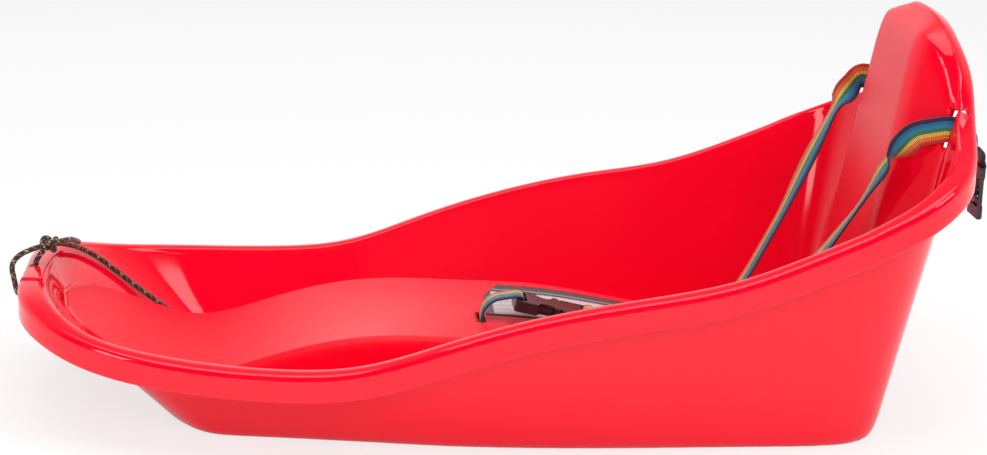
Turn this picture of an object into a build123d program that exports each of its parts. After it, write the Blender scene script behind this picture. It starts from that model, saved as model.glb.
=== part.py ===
from build123d import *
import math
import os

# Toddler's pull sled: one moulded tub with a high back, a webbing harness and a tow rope.
# Millimetres; +X to the nose, +Y to the rider's left, +Z up, z = 0 is the ground.

# ---- overall sizes ----
length = 720.0              # nose flange to the back of the rear flange
width = 386.0               # over the rim flanges
height = 313.0              # ground to the top of the back

# ---- tub ----
wall = 3.2                  # moulded wall
skirt_drop = 20.0           # how far the rim's skirt hangs below the rim
bilge = 10.0                # height of the slope between the bottom and the sides
bilge_inset = 8.0           # how far that slope leads in under the sides
seat_half_width = 77.0      # half width of the raised floor between the leg wells
pad_half_width = 66.0       # half width of the back pad's face at the ground
pad_taper = 0.05            # how much that half width falls for each millimetre up
pad_foot = -261.0           # where the pad's face would meet the ground
pad_lean = 0.171            # how much the pad's face leans back for each millimetre up
pad_crown = 296.0           # height of the pad's upper edge
flank_spread = 1.1          # how much the pad widens for each millimetre back
crown_slope = 0.74          # how much the pad's top rises for each millimetre back

# ---- harness ----
web_width = 20.0
web_thick = 1.6
lay = 0.3                   # air between pieces that lie on each other
web_sag = 1.5               # room for webbing that lies flat across the seat's dish
web_play = 4.4              # room for the webbing's thickness in every slot of the tub
slot_y = 88.0               # middle of each shoulder slot
slot_z = 234.0
slot_room = 9.0             # how much taller than the webbing a shoulder slot is
crotch_x = 8.0              # middle of the crotch strap's slot in the seat
crotch_room = 6.0           # how much wider than the webbing that slot is
buckle_x = -54.0            # where the buckle's two halves meet
buckle_side = 5.0           # how far the buckle reaches past the webbing on each side
buckle_thick = 9.0
buckle_tilt = 5.0           # degrees, nose up: the crotch strap holds the front off the seat
socket_length = 37.0
plug_length = 27.0          # crossbar to shoulder, without the prongs
prong_length = 19.0
bar = 4.0                   # thickness of every bar that webbing turns round
bar_slot = 5.0              # slot beside such a bar
slider_x = -361.0           # flat slider behind the back, on each shoulder strap
slider_y = 76.0
slider_z = 184.0
slider_height = 40.0
slider_thick = 3.0
slider_slot = 9.0
label_thick = 0.4
label_span = (-116.0, 3.0)  # rear and front end of the label on the seat
label_side = (-67.0, -8.0)  # its far and near edge
label_cut = (13.0, 19.0)    # the corner cut away at its front

# ---- tow rope ----
rope = 4.2                  # diameter
rope_room = 3.8             # play of the rope in the hole through the nose flange
rope_hole_x = 357.5
knot = 8.0                  # radius of the knot over the nose
knot_at = (345.0, 0.0, 118.0)
end_knot = 6.0              # radius of the knot at the far end
hank_at = (30.0, -98.4)     # middle of the hank in the right leg well
hank_straight = 38.0        # straight part of its turns
hank_fold = 12.6            # radius of its inner turn
hank_across = 2             # turns beside each other
hank_layers = 3
tie_width = 12.0
tie_thick = 1.2

# ---- lines of the tub, drawn for a hull of 720 x 386 x 313 and stretched to the sizes above ----
sx, sy, sz = length / 720.0, width / 386.0, height / 313.0

# ---- sizes that follow ----
slot_height = web_width + slot_room
slot_width = web_thick + web_play
crotch_slot_length = web_thick + web_play
crotch_slot_width = web_width + crotch_room
buckle_width = web_width + 2 * buckle_side
rope_hole = rope + rope_room

# Each station: rim (x, half width, height), foot on the ground (x, half width), flange width.
stations = [
    (352, 0, 104, 300, 0, 14),
    (350, 59, 103, 258, 60, 15),
    (320, 111, 89, 226, 100, 10),
    (260, 142, 77, 196, 112, 10),
    (170, 160, 71, 138, 121, 10),
    (110, 167, 75, 92, 129, 10),
    (50, 174, 94, 45, 137, 10),
    (-10, 178, 113, -10, 142, 10),
    (-100, 183, 132, -95, 144, 10),
    (-160, 179, 143, -148, 143, 10),
    (-220, 175, 164, -200, 142, 10),
    (-280, 169, 191, -248, 139, 11),
    (-324, 138, 217, -280, 122, 13),
    (-339, 97, 240, -291, 90, 12),
    (-336, 50, 300, -292, 46, 10),
    (-335, 0, 313, -292, 0, 10),
]
side_stations = 13          # how many of them, from the nose, lie along the sides
# Edge of the high back, seen from the front: (half width, height), from its foot to the crown.
back_edge = [(112, 227), (97, 240), (84, 264), (70, 288), (48, 305), (0, 313)]
back_x = -340.0             # where the sides' rim runs out into the back
back_front = -235.0         # the high back lies behind this
# Top of the raised floor, seen from the side: (x, height in the middle, height at its edges).
floor_line = [(-300, 34, 45), (-200, 32, 42), (-132, 39, 48), (-47, 53, 63), (30, 59, 67),
              (85, 62, 68), (140, 57, 61), (195, 43, 45), (240, 36, 37), (290, 55, 56),
              (345, 84, 84)]
floor_strips = 6            # flat strips across the raised floor's dish
loft_top = 330.0            # the walls are drawn up to here, then cut along the rim
far = length / 2 + 60.0     # beyond the tub in any direction


def scaled(x, y, z):
    """A place on the drawn hull, stretched to this hull's sizes."""
    return Vector(x * sx, y * sy, z * sz)


def spline_parameters():
    """Spacing of the stations round the rim, shared by every ring so that the walls stay true."""
    half = [scaled(*station[:3]) for station in stations]
    loop = half + [Vector(p.X, -p.Y, p.Z) for p in half[-2:0:-1]]
    total = [0.0]
    for i, point in enumerate(loop):
        total.append(total[-1] + (loop[(i + 1) % len(loop)] - point).length)
    return [distance / total[-1] for distance in total]


def ring(level, grow, upright=False):
    """Closed outline of the tub's walls at a level, moved outwards by grow(flange width).

    Upright, it is the rim's own outline at any level."""
    half = []
    for rim_x, rim_y, rim_z, foot_x, foot_y, flange in stations:
        up = 1 if upright else level / (rim_z * sz)
        half.append(((foot_x + (rim_x - foot_x) * up) * sx,
                     (foot_y + (rim_y - foot_y) * up) * sy, flange))
    loop = half + [(x, -y, flange) for x, y, flange in half[-2:0:-1]]
    points = []
    for i, (x, y, flange) in enumerate(loop):
        before, after = loop[i - 1], loop[(i + 1) % len(loop)]
        along = Vector(after[0] - before[0], after[1] - before[1]).normalized()
        points.append(Vector(x, y, level) + Vector(along.Y, -along.X) * grow(flange))
    return Wire([Edge.make_spline(points, periodic=True, parameters=spline_parameters())])


def tub(grow, bottom=0.0):
    """Solid inside the walls moved outwards by grow: a bilge slope, then straight ruled sides."""
    foot = ring(bottom, lambda flange: grow(flange) - bilge_inset)
    turn = ring(bottom + bilge, grow)
    top = ring(loft_top * sz, grow)
    return Solid.make_loft([foot, turn], ruled=True) + Solid.make_loft([turn, top], ruled=True)


def rim_block(grow):
    """Upright block inside the rim's outline moved outwards by grow."""
    return extrude(Face(ring(0, grow, upright=True)), loft_top * sz, dir=(0, 0, 1))


def back_outline(drop):
    """The high back's edge from its foot over the crown to the other foot, drawn in by drop."""
    half = [Vector(y * sy, z * sz) for y, z in back_edge]
    edge = []
    for i, point in enumerate(half):
        before, after = half[max(i - 1, 0)], half[min(i + 1, len(half) - 1)]
        along = (after - before).normalized()
        inward = Vector(-along.Y, along.X)
        if i == 0:
            inward = Vector(-1, 0)
        if i == len(half) - 1:
            inward = Vector(0, -1)
        inner = point + inward * drop
        edge.append(Vector(-far, inner.X, inner.Y))
    return edge + [Vector(p.X, -p.Y, p.Z) for p in edge[-2::-1]]


def under_rim(drop):
    """Everything lower than the rim by drop, and inside the edge of the high back by drop."""
    sheer = [Vector(x * sx, 0, z * sz - drop) for x, _, z, *_ in stations[:side_stations]]
    foot_z = back_edge[0][1] * sz - drop
    rear, front = Vector(back_x * sx, 0, foot_z), sheer[0]
    sides = Face(Wire([
        Edge.make_line((-far, 0, -far), (far, 0, -far)),
        Edge.make_line((far, 0, -far), (far, 0, front.Z)),
        Edge.make_line((far, 0, front.Z), front),
        Edge.make_spline(sheer + [rear]),
        Edge.make_line(rear, (-far, 0, foot_z)),
        Edge.make_line((-far, 0, foot_z), (-far, 0, -far)),
    ]))
    edge = back_outline(drop)
    start, end = (-far, edge[0].Y, 0), (-far, edge[-1].Y, 0)
    back = Face(Wire([
        Edge.make_spline(edge),
        Edge.make_line(edge[-1], end),
        Edge.make_line(end, start),
        Edge.make_line(start, edge[0]),
    ]))
    return (extrude(sides, far, dir=(0, 1, 0), both=True)
            + extrude(back, far + back_front * sx, dir=(1, 0, 0)))


def floor_curve(y, sink):
    """The raised floor's top line at y: a shallow dish between its edges, lowered by sink."""
    share = (y / seat_half_width) ** 2
    points = [Vector(x * sx, y, (mid + (edge - mid) * share) * sz - sink)
              for x, mid, edge in floor_line]
    start, span = points[0].X, points[-1].X - points[0].X
    return Edge.make_spline(points, parameters=[(p.X - start) / span for p in points])


def floor_z(x, y=0.0):
    """Height of the raised floor at a place."""
    curve = floor_curve(y, 0)
    start, end = floor_line[0][0] * sx, floor_line[-1][0] * sx
    share = (x - start) / (end - start)
    for _ in range(5):
        share += (x - curve.position_at(share, PositionMode.PARAMETER).X) / (end - start)
    return curve.position_at(share, PositionMode.PARAMETER).Z


def raised_floor(sink):
    """The block under the raised floor, its top and sides drawn in by sink."""
    rings = []
    for i in range(floor_strips + 1):
        y = (seat_half_width - sink) * (2 * i / floor_strips - 1)
        top = floor_curve(y, sink)
        rear, front = top @ 0, top @ 1
        rings.append(Wire([
            top,
            Edge.make_line(front, (front.X, y, -far)),
            Edge.make_line((front.X, y, -far), (rear.X, y, -far)),
            Edge.make_line((rear.X, y, -far), rear),
        ]))
    return Solid.make_loft(rings, ruled=True)


def pad_x(z):
    """Where the pad's face stands at height z."""
    return (pad_foot - pad_lean * z / sz) * sx


def back_pad(sink):
    """The block behind the back pad's face, drawn in by sink."""
    rings = []
    for z in (-bilge, loft_top * sz):
        face_x = pad_x(z) - sink
        half = (pad_half_width - pad_taper * z / sz) * sy - sink
        back_half = half + (face_x + far) * flank_spread
        corners = [(face_x, half), (-far, back_half), (-far, -back_half), (face_x, -half)]
        rings.append(Wire.make_polygon([(x, y, z) for x, y in corners]))
    crown_x, crown_z = pad_x(pad_crown * sz), pad_crown * sz - sink
    above = Face(Wire.make_polygon([
        (crown_x + far, 0, crown_z - far * crown_slope),
        (crown_x - far, 0, crown_z + far * crown_slope),
        (crown_x + far, 0, crown_z + far * crown_slope),
    ]))
    return Solid.make_loft(rings, ruled=True) - extrude(above, far, dir=(0, 1, 0), both=True)


def sled_shell():
    """One wall all round: a block with the rim's outline, hollowed from below and from above."""
    body = rim_block(lambda flange: flange) & under_rim(0)
    body -= (rim_block(lambda flange: flange - wall) & under_rim(wall)) - tub(lambda flange: 0.0)
    below_skirt = Box(2 * far, 2 * far, 2 * far) & under_rim(skirt_drop)
    body -= below_skirt - tub(lambda flange: 0.0)
    body -= tub(lambda flange: -wall, wall) - raised_floor(0) - back_pad(0)
    body -= raised_floor(wall)
    body -= back_pad(wall)
    slot_reach = 17.0
    for side in (1, -1):
        at = scaled(back_x, side * slot_y, slot_z) + Vector(wall, 0, 0)
        body -= Pos(at) * Box(slot_reach, slot_width, slot_height)
    at = Vector(crotch_x * sx, 0, floor_z(crotch_x * sx))
    body -= Pos(at) * Box(crotch_slot_length, crotch_slot_width, 4 * wall)
    body -= Pos(scaled(rope_hole_x, 0, stations[0][2])) * Cylinder(rope_hole / 2, 4 * wall)
    return body


def web(route):
    """Flat webbing along a route of (middle, direction across)."""
    rings = []
    for i, (middle, across) in enumerate(route):
        before, after = route[max(i - 1, 0)][0], route[min(i + 1, len(route) - 1)][0]
        along = (after - before).normalized()
        across = (across - along * across.dot(along)).normalized()
        out = along.cross(across).normalized() * (web_thick / 2)
        across = across * (web_width / 2)
        rings.append([middle + across + out, middle - across + out,
                      middle - across - out, middle + across - out])
    faces = [Face(Wire.make_polygon(end)) for end in (rings[0], rings[-1])]
    for ring_a, ring_b in zip(rings, rings[1:]):
        for corner in range(len(ring_a)):
            beside = (corner + 1) % len(ring_a)
            faces.append(Face.make_surface_from_curves(
                Edge.make_line(ring_a[corner], ring_a[beside]),
                Edge.make_line(ring_b[corner], ring_b[beside])))
    return Solid(Shell(faces))


def over_seat(x, y, above):
    """A place above the raised floor."""
    return Vector(x * sx, y * sy, floor_z(x * sx, y * sy) + above)


def buckle_plane():
    """Where the buckle's halves meet, at mid thickness: X runs to the nose along the buckle."""
    step = 25.0
    rise = over_seat(buckle_x + step, 0, 0) - over_seat(buckle_x - step, 0, 0)
    sag = plug_length * math.sin(math.radians(buckle_tilt))
    lift = label_thick + 3 * lay + web_thick + buckle_thick / 2 + sag + 2.0
    seat = Plane(origin=over_seat(buckle_x, 0, lift), x_dir=rise, z_dir=Vector(-rise.Z, 0, rise.X))
    return seat * Rot(0, -buckle_tilt, 0)


def in_buckle(x, z):
    """A place in the buckle's middle plane, by its own axes."""
    return (buckle_plane() * Pos(x, 0, z)).position


def bar_turn(x, side, way):
    """Middle line of webbing that lies over a bar's face and turns in through the slot beyond.

    x is the middle of the slot, side is the face it comes from (1 top, -1 bottom) and way is
    the direction it comes from along the buckle (1 from the nose, -1 from the rear)."""
    face = buckle_thick / 2 + lay + web_thick / 2
    steps = [(bar_slot / 2 + bar, face), (bar_slot / 2 + 1.0, face + 0.5),
             (0.9, face - 0.1), (0.2, face - 3.0), (0.2, web_thick)]
    return [in_buckle(x + way * along, side * up) for along, up in steps]


def shoulder_strap(side):
    """From its slider behind the back, in through the slot, down the back and to the buckle."""
    slot = scaled(back_x, slot_y, slot_z)
    outer = slider_x * sx - slider_thick / 2 - lay - web_thick / 2
    inner = slider_x * sx + slider_thick / 2 + lay + web_thick / 2
    upright, level = Vector(0, 0, 1), Vector(0, 1, 0)
    mid, top = slider_z * sz, slider_z * sz + slider_height / 2
    far_edge = bar / 2 + slider_slot - 0.6
    route = [
        (Vector(outer, slider_y * sy, mid - slider_height / 2), level),
        (Vector(outer, slider_y * sy, mid - far_edge), level),
        (Vector(inner, slider_y * sy, mid - bar / 2 - 0.6), level),
        (Vector(inner, slider_y * sy, mid + bar / 2 + 0.6), level),
        (Vector(outer, slider_y * sy, mid + far_edge), level),
        (Vector(outer, slider_y * sy, top + 1), level),
        (Vector(slot.X - 19, slot.Y - 8, slot.Z - 19), Vector(0, 1, 0.1)),
        (Vector(slot.X - 9.5, slot.Y - 4, slot.Z - 14), Vector(-0.1, 1, 0.45)),
        (Vector(slot.X - 5.5, slot.Y - 1, slot.Z - 6.5), Vector(-0.1, 0.6, 0.8)),
        (Vector(slot.X - 1.5, slot.Y, slot.Z - 1), Vector(0, 0.1, 1)),
        (Vector(slot.X + 10, slot.Y, slot.Z), upright),
    ]
    air = {
        1: [((-308, 84, 229), (-0.4, 0.1, 1)), ((-290, 75, 204), (-0.5, 0.5, 0.8)),
            ((-274, 65, 167), (0.3, 1, 0)), ((-250, 54, 126), (0, 1, 0)),
            ((-215, 40, 82), (0, 1, 0))],
        -1: [((-305, 83, 241), (-0.4, 0.1, 1)), ((-286, 75, 215), (-0.5, 0.5, 0.8)),
             ((-263, 67, 170), (0.3, 1, 0)), ((-243, 57, 130), (0, 1, 0)),
             ((-213, 40, 82), (0, 1, 0))],
    }
    route += [(scaled(*at), Vector(*across)) for at, across in air[side]]
    above = 2 * lay + label_thick + web_thick / 2 + web_sag
    if side > 0:
        above += web_thick + lay + web_sag
    for x, y in ((-180, 26), (-150, 16), (-120, 7), (-100, 0)):
        edges = [over_seat(x, y + shift, 0) for shift in (-web_width / 2, web_width / 2)]
        route.append((over_seat(x, y, above), edges[1] - edges[0]))
    slot_middle = -plug_length + bar + bar_slot / 2
    route += [(at, level) for at in bar_turn(slot_middle, side, -1)]
    return web([(Vector(at.X, at.Y * side, at.Z), Vector(a.X, a.Y * side, a.Z)) for at, a in route])


def strap_slider(side):
    """Flat three-bar slider that keeps the strap from pulling out through its slot."""
    frame = Box(slider_thick, web_width + 6, slider_height)
    for shift in (1, -1):
        at = shift * (bar + slider_slot) / 2
        frame -= Pos(0, 0, at) * Box(2 * slider_thick, web_width + 1, slider_slot)
    return Pos(slider_x * sx, side * slider_y * sy, slider_z * sz) * frame


def seat_label():
    """Blank foil label stuck to the seat, its front corner cut away."""
    sheet = raised_floor(-label_thick - lay) - raised_floor(-lay)
    rear, front = label_span[0] * sx, label_span[1] * sx
    back, near = label_side
    outline = Wire.make_polygon([
        (rear, back, 0), (front - label_cut[0], back, 0), (front, back + label_cut[1], 0),
        (front, near, 0), (rear, near, 0)])
    return sheet & extrude(Face(outline), far, dir=(0, 0, 1))


def buckle_socket():
    """Housing of the side-release buckle, open at the rear, with a bar for the crotch strap."""
    body = Pos(socket_length / 2, 0, 0) * Box(socket_length, buckle_width, buckle_thick)
    body = fillet(body.edges().filter_by(Axis.Z), 3)
    cavity = socket_length - 2 * bar - bar_slot
    body -= Pos(cavity / 2, 0, 0) * Box(cavity, buckle_width - 6, buckle_thick - 4)
    slot_middle = socket_length - bar - bar_slot / 2
    body -= Pos(slot_middle, 0, 0) * Box(bar_slot, web_width + 2, 2 * buckle_thick)
    for side in (1, -1):
        body -= Pos(cavity / 2, side * buckle_width / 2, 0) * Cylinder(7, 2 * buckle_thick)
    return buckle_plane() * body


def buckle_plug():
    """Plug of the side-release buckle: crossbar, two side prongs and a middle tongue."""
    body = Pos(-plug_length / 2, 0, 0) * Box(plug_length, buckle_width, buckle_thick - 1)
    body = fillet(body.edges().filter_by(Axis.Z), 3)
    slot_middle = -plug_length + bar + bar_slot / 2
    body -= Pos(slot_middle, 0, 0) * Box(bar_slot, web_width + 2, 2 * buckle_thick)
    body = Pos(-lay, 0, 0) * body
    for side in (1, -1):
        body += Pos(prong_length / 2 - lay, side * 7.5, 0) * Box(prong_length, 3.5, 4)
    body += Pos(prong_length / 2 - 2, 0, 0) * Box(prong_length - 3, 5, 3)
    return buckle_plane() * body


def crotch_strap():
    """Up through the seat from its keeper, over in an arch, and round the buckle's front bar."""
    level = Vector(0, 1, 0)
    x, z = crotch_x * sx, floor_z(crotch_x * sx)
    arch = [(0, -14), (0, 3), (-1.5, 9), (-6, 14.5), (-12, 17.5)]
    route = [(Vector(x + along, 0, z + up), level) for along, up in arch]
    slot_middle = socket_length - bar - bar_slot / 2
    route += [(at, level) for at in bar_turn(slot_middle, 1, 1)]
    return web(route)


def strap_keeper():
    """Flat bar under the seat that the crotch strap is sewn round, too wide for the slot."""
    thick = 2.6
    slot = web_thick + 1.4
    reach = bar + slot / 2
    frame = Box(2 * reach, web_width + 12, thick) - Box(slot, web_width + 1, 2 * thick)
    x = crotch_x * sx
    lower_end = min(floor_z(x - reach), floor_z(x + reach))
    return Pos(x, 0, lower_end - wall - lay - thick / 2) * frame


def rope_tube(name, points):
    """Rope along a route: straight runs joined by arcs as large as the runs allow."""
    radii = []
    for before, at, after in zip(points, points[1:], points[2:]):
        turn = math.radians((at - before).get_angle(after - at))
        shorter = min((at - before).length, (after - at).length)
        radii.append(0.45 * shorter / math.tan(turn / 2))
    path = FilletPolyline(*points, radius=radii)
    tube = sweep(Plane(origin=path @ 0, z_dir=path % 0) * Circle(rope / 2), path)
    share = tube.volume / (math.pi * rope ** 2 / 4 * path.length)
    print(name, "length", round(path.length, 1), "volume share", round(share, 4),
          "radii", [round(radius, 1) for radius in radii])
    return tube


def from_knot(towards):
    """Where a strand leaves the nose knot on its way towards a place."""
    middle = Vector(*knot_at)
    return middle + (towards - middle).normalized() * knot


def tow_rope():
    """From the nose knot down inside the nose's right side into the leg well, to the hank."""
    route = [(343, -24, 111.5), (338, -50, 103.5), (330, -73, 94), (316, -84, 82.5), (299, -87.5, 67),
             (283, -88.5, 53.5), (270, -87, 44), (258, -85.5, 35.5), (243, -87, 26), (226, -91, 18),
             (206, -96, 11.5), (182, -99, 7.8), (150, -101, 6.2), (115, -100.5, 6)]
    points = [Vector(*point) for point in route]
    end = Vector(hank_at[0] + hank_straight / 2 + hank_outer(), hank_at[1], hank_foot() + rope / 2)
    straight = end + Vector(6 * rope, 0, 0)
    return rope_tube("tow_rope", [from_knot(points[0])] + points + [straight, end])


def tow_rope_tail():
    """Short free end beyond the nose knot, lying over the long strand."""
    points = [Vector(331, -17, 117), Vector(329.5, -38, 110), Vector(329.5, -58, 103)]
    return rope_tube("tow_rope_tail", [from_knot(points[0])] + points)


def tow_rope_loop():
    """From the nose knot over the rim, round under the skirt and up through the hole."""
    route = [(361, 3, 113.5), (369.5, 3.5, 109), (375, 2.5, 101), (373, 0.5, 88.5),
             (371, 0, 75.5), (357.5, 0, 75.5), (357, 0, 90), (357.5, -1, 104)]
    points = [Vector(*point) for point in route]
    return rope_tube("tow_rope_loop", [from_knot(points[0])] + points + [from_knot(points[-1])])


def tow_rope_knot():
    return Pos(*knot_at) * Sphere(knot)


def hank_outer():
    """Radius of the hank's ends, over the rope."""
    return hank_fold + (hank_across - 0.5) * rope


def hank_foot():
    """Height of the hank's underside over the leg well's floor, with its tie under it."""
    return wall + lay + tie_thick


def tow_rope_hank():
    """Outer shape of the rope put away in oblong turns."""
    outline = SlotCenterToCenter(hank_straight, 2 * hank_outer())
    return Pos(*hank_at, hank_foot()) * extrude(outline, hank_layers * rope)


def tow_rope_tie():
    """Band round the middle of the hank."""
    across, tall = 2 * hank_outer(), hank_layers * rope
    band = Box(tie_width, across + 2 * tie_thick, tall + 2 * tie_thick)
    band -= Box(2 * tie_width, across, tall)
    return Pos(*hank_at, hank_foot() + tall / 2) * band


def tow_rope_end_knot():
    """Stopper knot on the far end, beside the hank."""
    x = hank_at[0] - hank_straight / 2 - hank_outer() - end_knot - lay
    return Pos(x, hank_at[1], wall + lay + end_knot) * Sphere(end_knot)


nodes = {
    "sled_shell": sled_shell,
    "seat_label": seat_label,
    "shoulder_strap_left": lambda: shoulder_strap(1),
    "shoulder_strap_right": lambda: shoulder_strap(-1),
    "strap_slider_left": lambda: strap_slider(1),
    "strap_slider_right": lambda: strap_slider(-1),
    "crotch_strap": crotch_strap,
    "strap_keeper": strap_keeper,
    "buckle_socket": buckle_socket,
    "buckle_plug": buckle_plug,
    "tow_rope": tow_rope,
    "tow_rope_tail": tow_rope_tail,
    "tow_rope_loop": tow_rope_loop,
    "tow_rope_knot": tow_rope_knot,
    "tow_rope_hank": tow_rope_hank,
    "tow_rope_tie": tow_rope_tie,
    "tow_rope_end_knot": tow_rope_end_knot,
}
if __name__ == "__main__":
    os.makedirs("parts", exist_ok=True)
    for name, make in nodes.items():
        export_step(make(), f"parts/{name}.step")
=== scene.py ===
import math

import bmesh
import bpy
import numpy as np
from mathutils import Matrix


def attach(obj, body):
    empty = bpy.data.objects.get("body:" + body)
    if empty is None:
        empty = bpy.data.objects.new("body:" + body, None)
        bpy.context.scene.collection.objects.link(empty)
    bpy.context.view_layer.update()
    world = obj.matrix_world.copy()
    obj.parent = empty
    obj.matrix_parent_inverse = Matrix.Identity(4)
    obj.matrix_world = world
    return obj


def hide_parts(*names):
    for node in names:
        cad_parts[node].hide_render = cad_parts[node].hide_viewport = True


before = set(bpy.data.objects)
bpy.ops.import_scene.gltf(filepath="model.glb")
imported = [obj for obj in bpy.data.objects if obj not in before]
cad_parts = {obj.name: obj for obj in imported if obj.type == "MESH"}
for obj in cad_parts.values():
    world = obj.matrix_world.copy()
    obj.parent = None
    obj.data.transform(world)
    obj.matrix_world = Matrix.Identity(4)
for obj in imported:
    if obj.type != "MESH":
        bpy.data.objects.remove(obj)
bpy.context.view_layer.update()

bl_info = {
    "name": "Toddler's pull sled",
    "version": (1, 0, 0),
    "blender": (4, 5, 0),
    "location": "View3D > Sidebar > Pull sled",
    "description": "Builds the looks of a moulded pull sled round its fixed frame",
    "category": "Add Mesh",
}

MM = 0.001

# ---- the tub's lines: +X to the nose, +Z up, z = 0 is the ground ----
# Each station: rim (x, half width, height), foot on the ground (x, half width), flange width.
STATIONS = MM * np.array([
    (352, 0, 104, 300, 0, 14), (350, 59, 103, 258, 60, 15), (320, 111, 89, 226, 100, 10),
    (260, 142, 77, 196, 112, 10), (170, 160, 71, 138, 121, 10), (110, 167, 75, 92, 129, 10),
    (50, 174, 94, 45, 137, 10), (-10, 178, 113, -10, 142, 10), (-100, 183, 132, -95, 144, 10),
    (-160, 179, 143, -148, 143, 10), (-220, 175, 164, -200, 142, 10),
    (-280, 169, 191, -248, 139, 11), (-324, 138, 217, -280, 122, 13), (-339, 97, 240, -291, 90, 12),
    (-336, 50, 300, -292, 46, 10), (-335, 0, 313, -292, 0, 10)])
SIDE_STATIONS = 13
# Edge of the high back, seen from the front: (half width, height), from its foot to the crown.
BACK_EDGE = MM * np.array([(112, 227), (97, 240), (84, 264), (70, 288), (48, 305), (0, 313)])
# Top of the raised floor, seen from the side: (x, height in the middle, height at its edges).
FLOOR_LINE = MM * np.array([
    (-300, 34, 45), (-200, 32, 42), (-132, 39, 48), (-47, 53, 63), (30, 59, 67), (85, 62, 68),
    (140, 57, 61), (195, 43, 45), (240, 36, 37), (290, 55, 56), (345, 84, 84)])
# Half width of the raised floor's outline along the sled.
FLOOR_SIDE = MM * np.array([
    (-320, 77), (195, 77), (235, 79), (262, 80), (285, 72), (306, 60), (322, 49), (330, 38),
    (336, 0), (352, -60)])
SEAT_HALF = 77 * MM
WALL = 3.2 * MM
SKIRT = 20 * MM
FLANGE_FALL = 2.5 * MM        # how far the rim's flange falls outwards
BACK_FALL = 7 * MM            # the same over the high back
FLANGE_CROWN = 0.3 * MM       # how much the flange bulges between its edges
BACK_CREST = 1.0 * MM         # inner rounding of the rim over the high back
PAD_FOOT, PAD_LEAN, PAD_HALF, PAD_TAPER = -261 * MM, 0.171, 66 * MM, 0.05
PAD_CROWN, CROWN_SLOPE, FLANK_SPREAD = 296 * MM, 0.74, 1.1
# Roundings: the raised floor's edge over its steep sides, the pad's edges, its top below the
# rim and the ridge down its middle, and where the floor and the pad run out below.
FLOOR_STEEP, FLOOR_EDGE = 7.0, 17 * MM
PAD_EDGE, PAD_TOP_EDGE, PAD_RIM_EDGE, PAD_RIDGE = 30 * MM, 24 * MM, 9 * MM, 4 * MM
FLOOR_RUN_OUT, PAD_RUN_OUT = 14 * MM, 34 * MM
WALL_TURN = 4.5 * MM, 6 * MM, 15 * MM     # walls to ground: for a lean of one, least and most
BACK_EDGE_BEND, BACK_EDGE_FALL = 8 * MM, 0.75     # where the back's edge meets the sides' rim

# How the skin is drawn: ribs round half the tub and points on each, how much a bend draws the
# points together, and where a rib starts on the spine: (station it ends at, x of its start).
RIBS, RIB_POINTS = 200, 92
BEND_WEIGHT = 7.0 * MM
SPINE = np.array([
    (0, 285), (1.6, 285), (2.4, 272), (3, 235), (4, 160), (5, 105), (6, 50), (7, -10), (8, -98),
    (9, -153), (10, -205), (11, -245), (12, -262), (15, -262)], float)
BACK_CORNER_X = -266 * MM     # where the ribs to the high back turn
# The search for a wall's height: longest steps round the outline and upwards, and its limits.
ROUND_STEP, RISE_STEP, WALL_REACH = 0.02, 0.06, (-0.04, 0.36)

# ---- harness ----
WEB_WIDTH, WEB_THICK, LAY = 20 * MM, 1.6 * MM, 0.3 * MM
WEB_SAG = 1.5 * MM
LABEL_THICK = 0.4 * MM
BUCKLE_X, BUCKLE_THICK = -54 * MM, 9 * MM
BUCKLE_TILT = math.radians(5)
SOCKET_LENGTH, PLUG_LENGTH = 37 * MM, 27 * MM
BAR, BAR_SLOT = 4 * MM, 5 * MM
SLIDER_AT = MM * np.array((-361, 76, 184))
SLIDER_HEIGHT, SLIDER_THICK, SLIDER_SLOT = 40 * MM, 3 * MM, 9 * MM
SLOT_AT = MM * np.array((-340, 88, 234))
SLOT_DEPTH = 17 * MM          # how deep a shoulder slot is cut, and its room round the webbing
WEB_PLAY, SLOT_ROOM = 4.4 * MM, 9 * MM
CROTCH_X, CROTCH_ROOM = 8 * MM, 6 * MM
THROUGH = 13 * MM             # how deep the cuts through the floor and the nose are
LABEL_X = -116 * MM, 3 * MM   # rear and front end, far and near side, and the corner cut away
LABEL_Y = -67 * MM, -8 * MM
LABEL_CUT = 13 * MM, 19 * MM

# ---- tow rope ----
ROPE = 4.2 * MM
ROPE_ROOM = 3.8 * MM          # play of the rope in the nose's hole
HOLE_AT = MM * np.array((357.5, 0, 104))
KNOT_AT, KNOT = MM * np.array((345, 0, 118)), 8 * MM
HANK_AT, HANK_STRAIGHT = MM * np.array((30, -98.4)), 38 * MM
HANK_FOLD = 12.6 * MM
HANK_FOOT = 4.7 * MM
END_KNOT_AT, END_KNOT = MM * np.array((-14.2, -98.4, 9.5)), 6 * MM
TIE_WIDTH, TIE_THICK, TIE_CORNER = 12 * MM, 1.2 * MM, 3.2 * MM
STRANDS = 8                   # strands that wind each way round the rope
BRAID_STEP, BRAID_SIDES = 0.55 * MM, 32
GROOVE, BULGE = 0.955, 0.075  # radius between strands and its rise on one, over the rope's own


# ---------------------------------------------------------------- settings

def size(name, description, default, low, high):
    """A length that a user may change, in metres."""
    return bpy.props.FloatProperty(name=name, description=description, default=default, min=low,
                                   max=high, subtype="DISTANCE", unit="LENGTH", precision=4)


def tint(name, description, default):
    """A colour that a user may change."""
    return bpy.props.FloatVectorProperty(name=name, description=description, default=default,
                                         size=3, min=0, max=1, subtype="COLOR")


def share(name, description, default):
    """A plain number from 0 to 1 that a user may change."""
    return bpy.props.FloatProperty(name=name, description=description, default=default, min=0,
                                   max=1, subtype="FACTOR")


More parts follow.
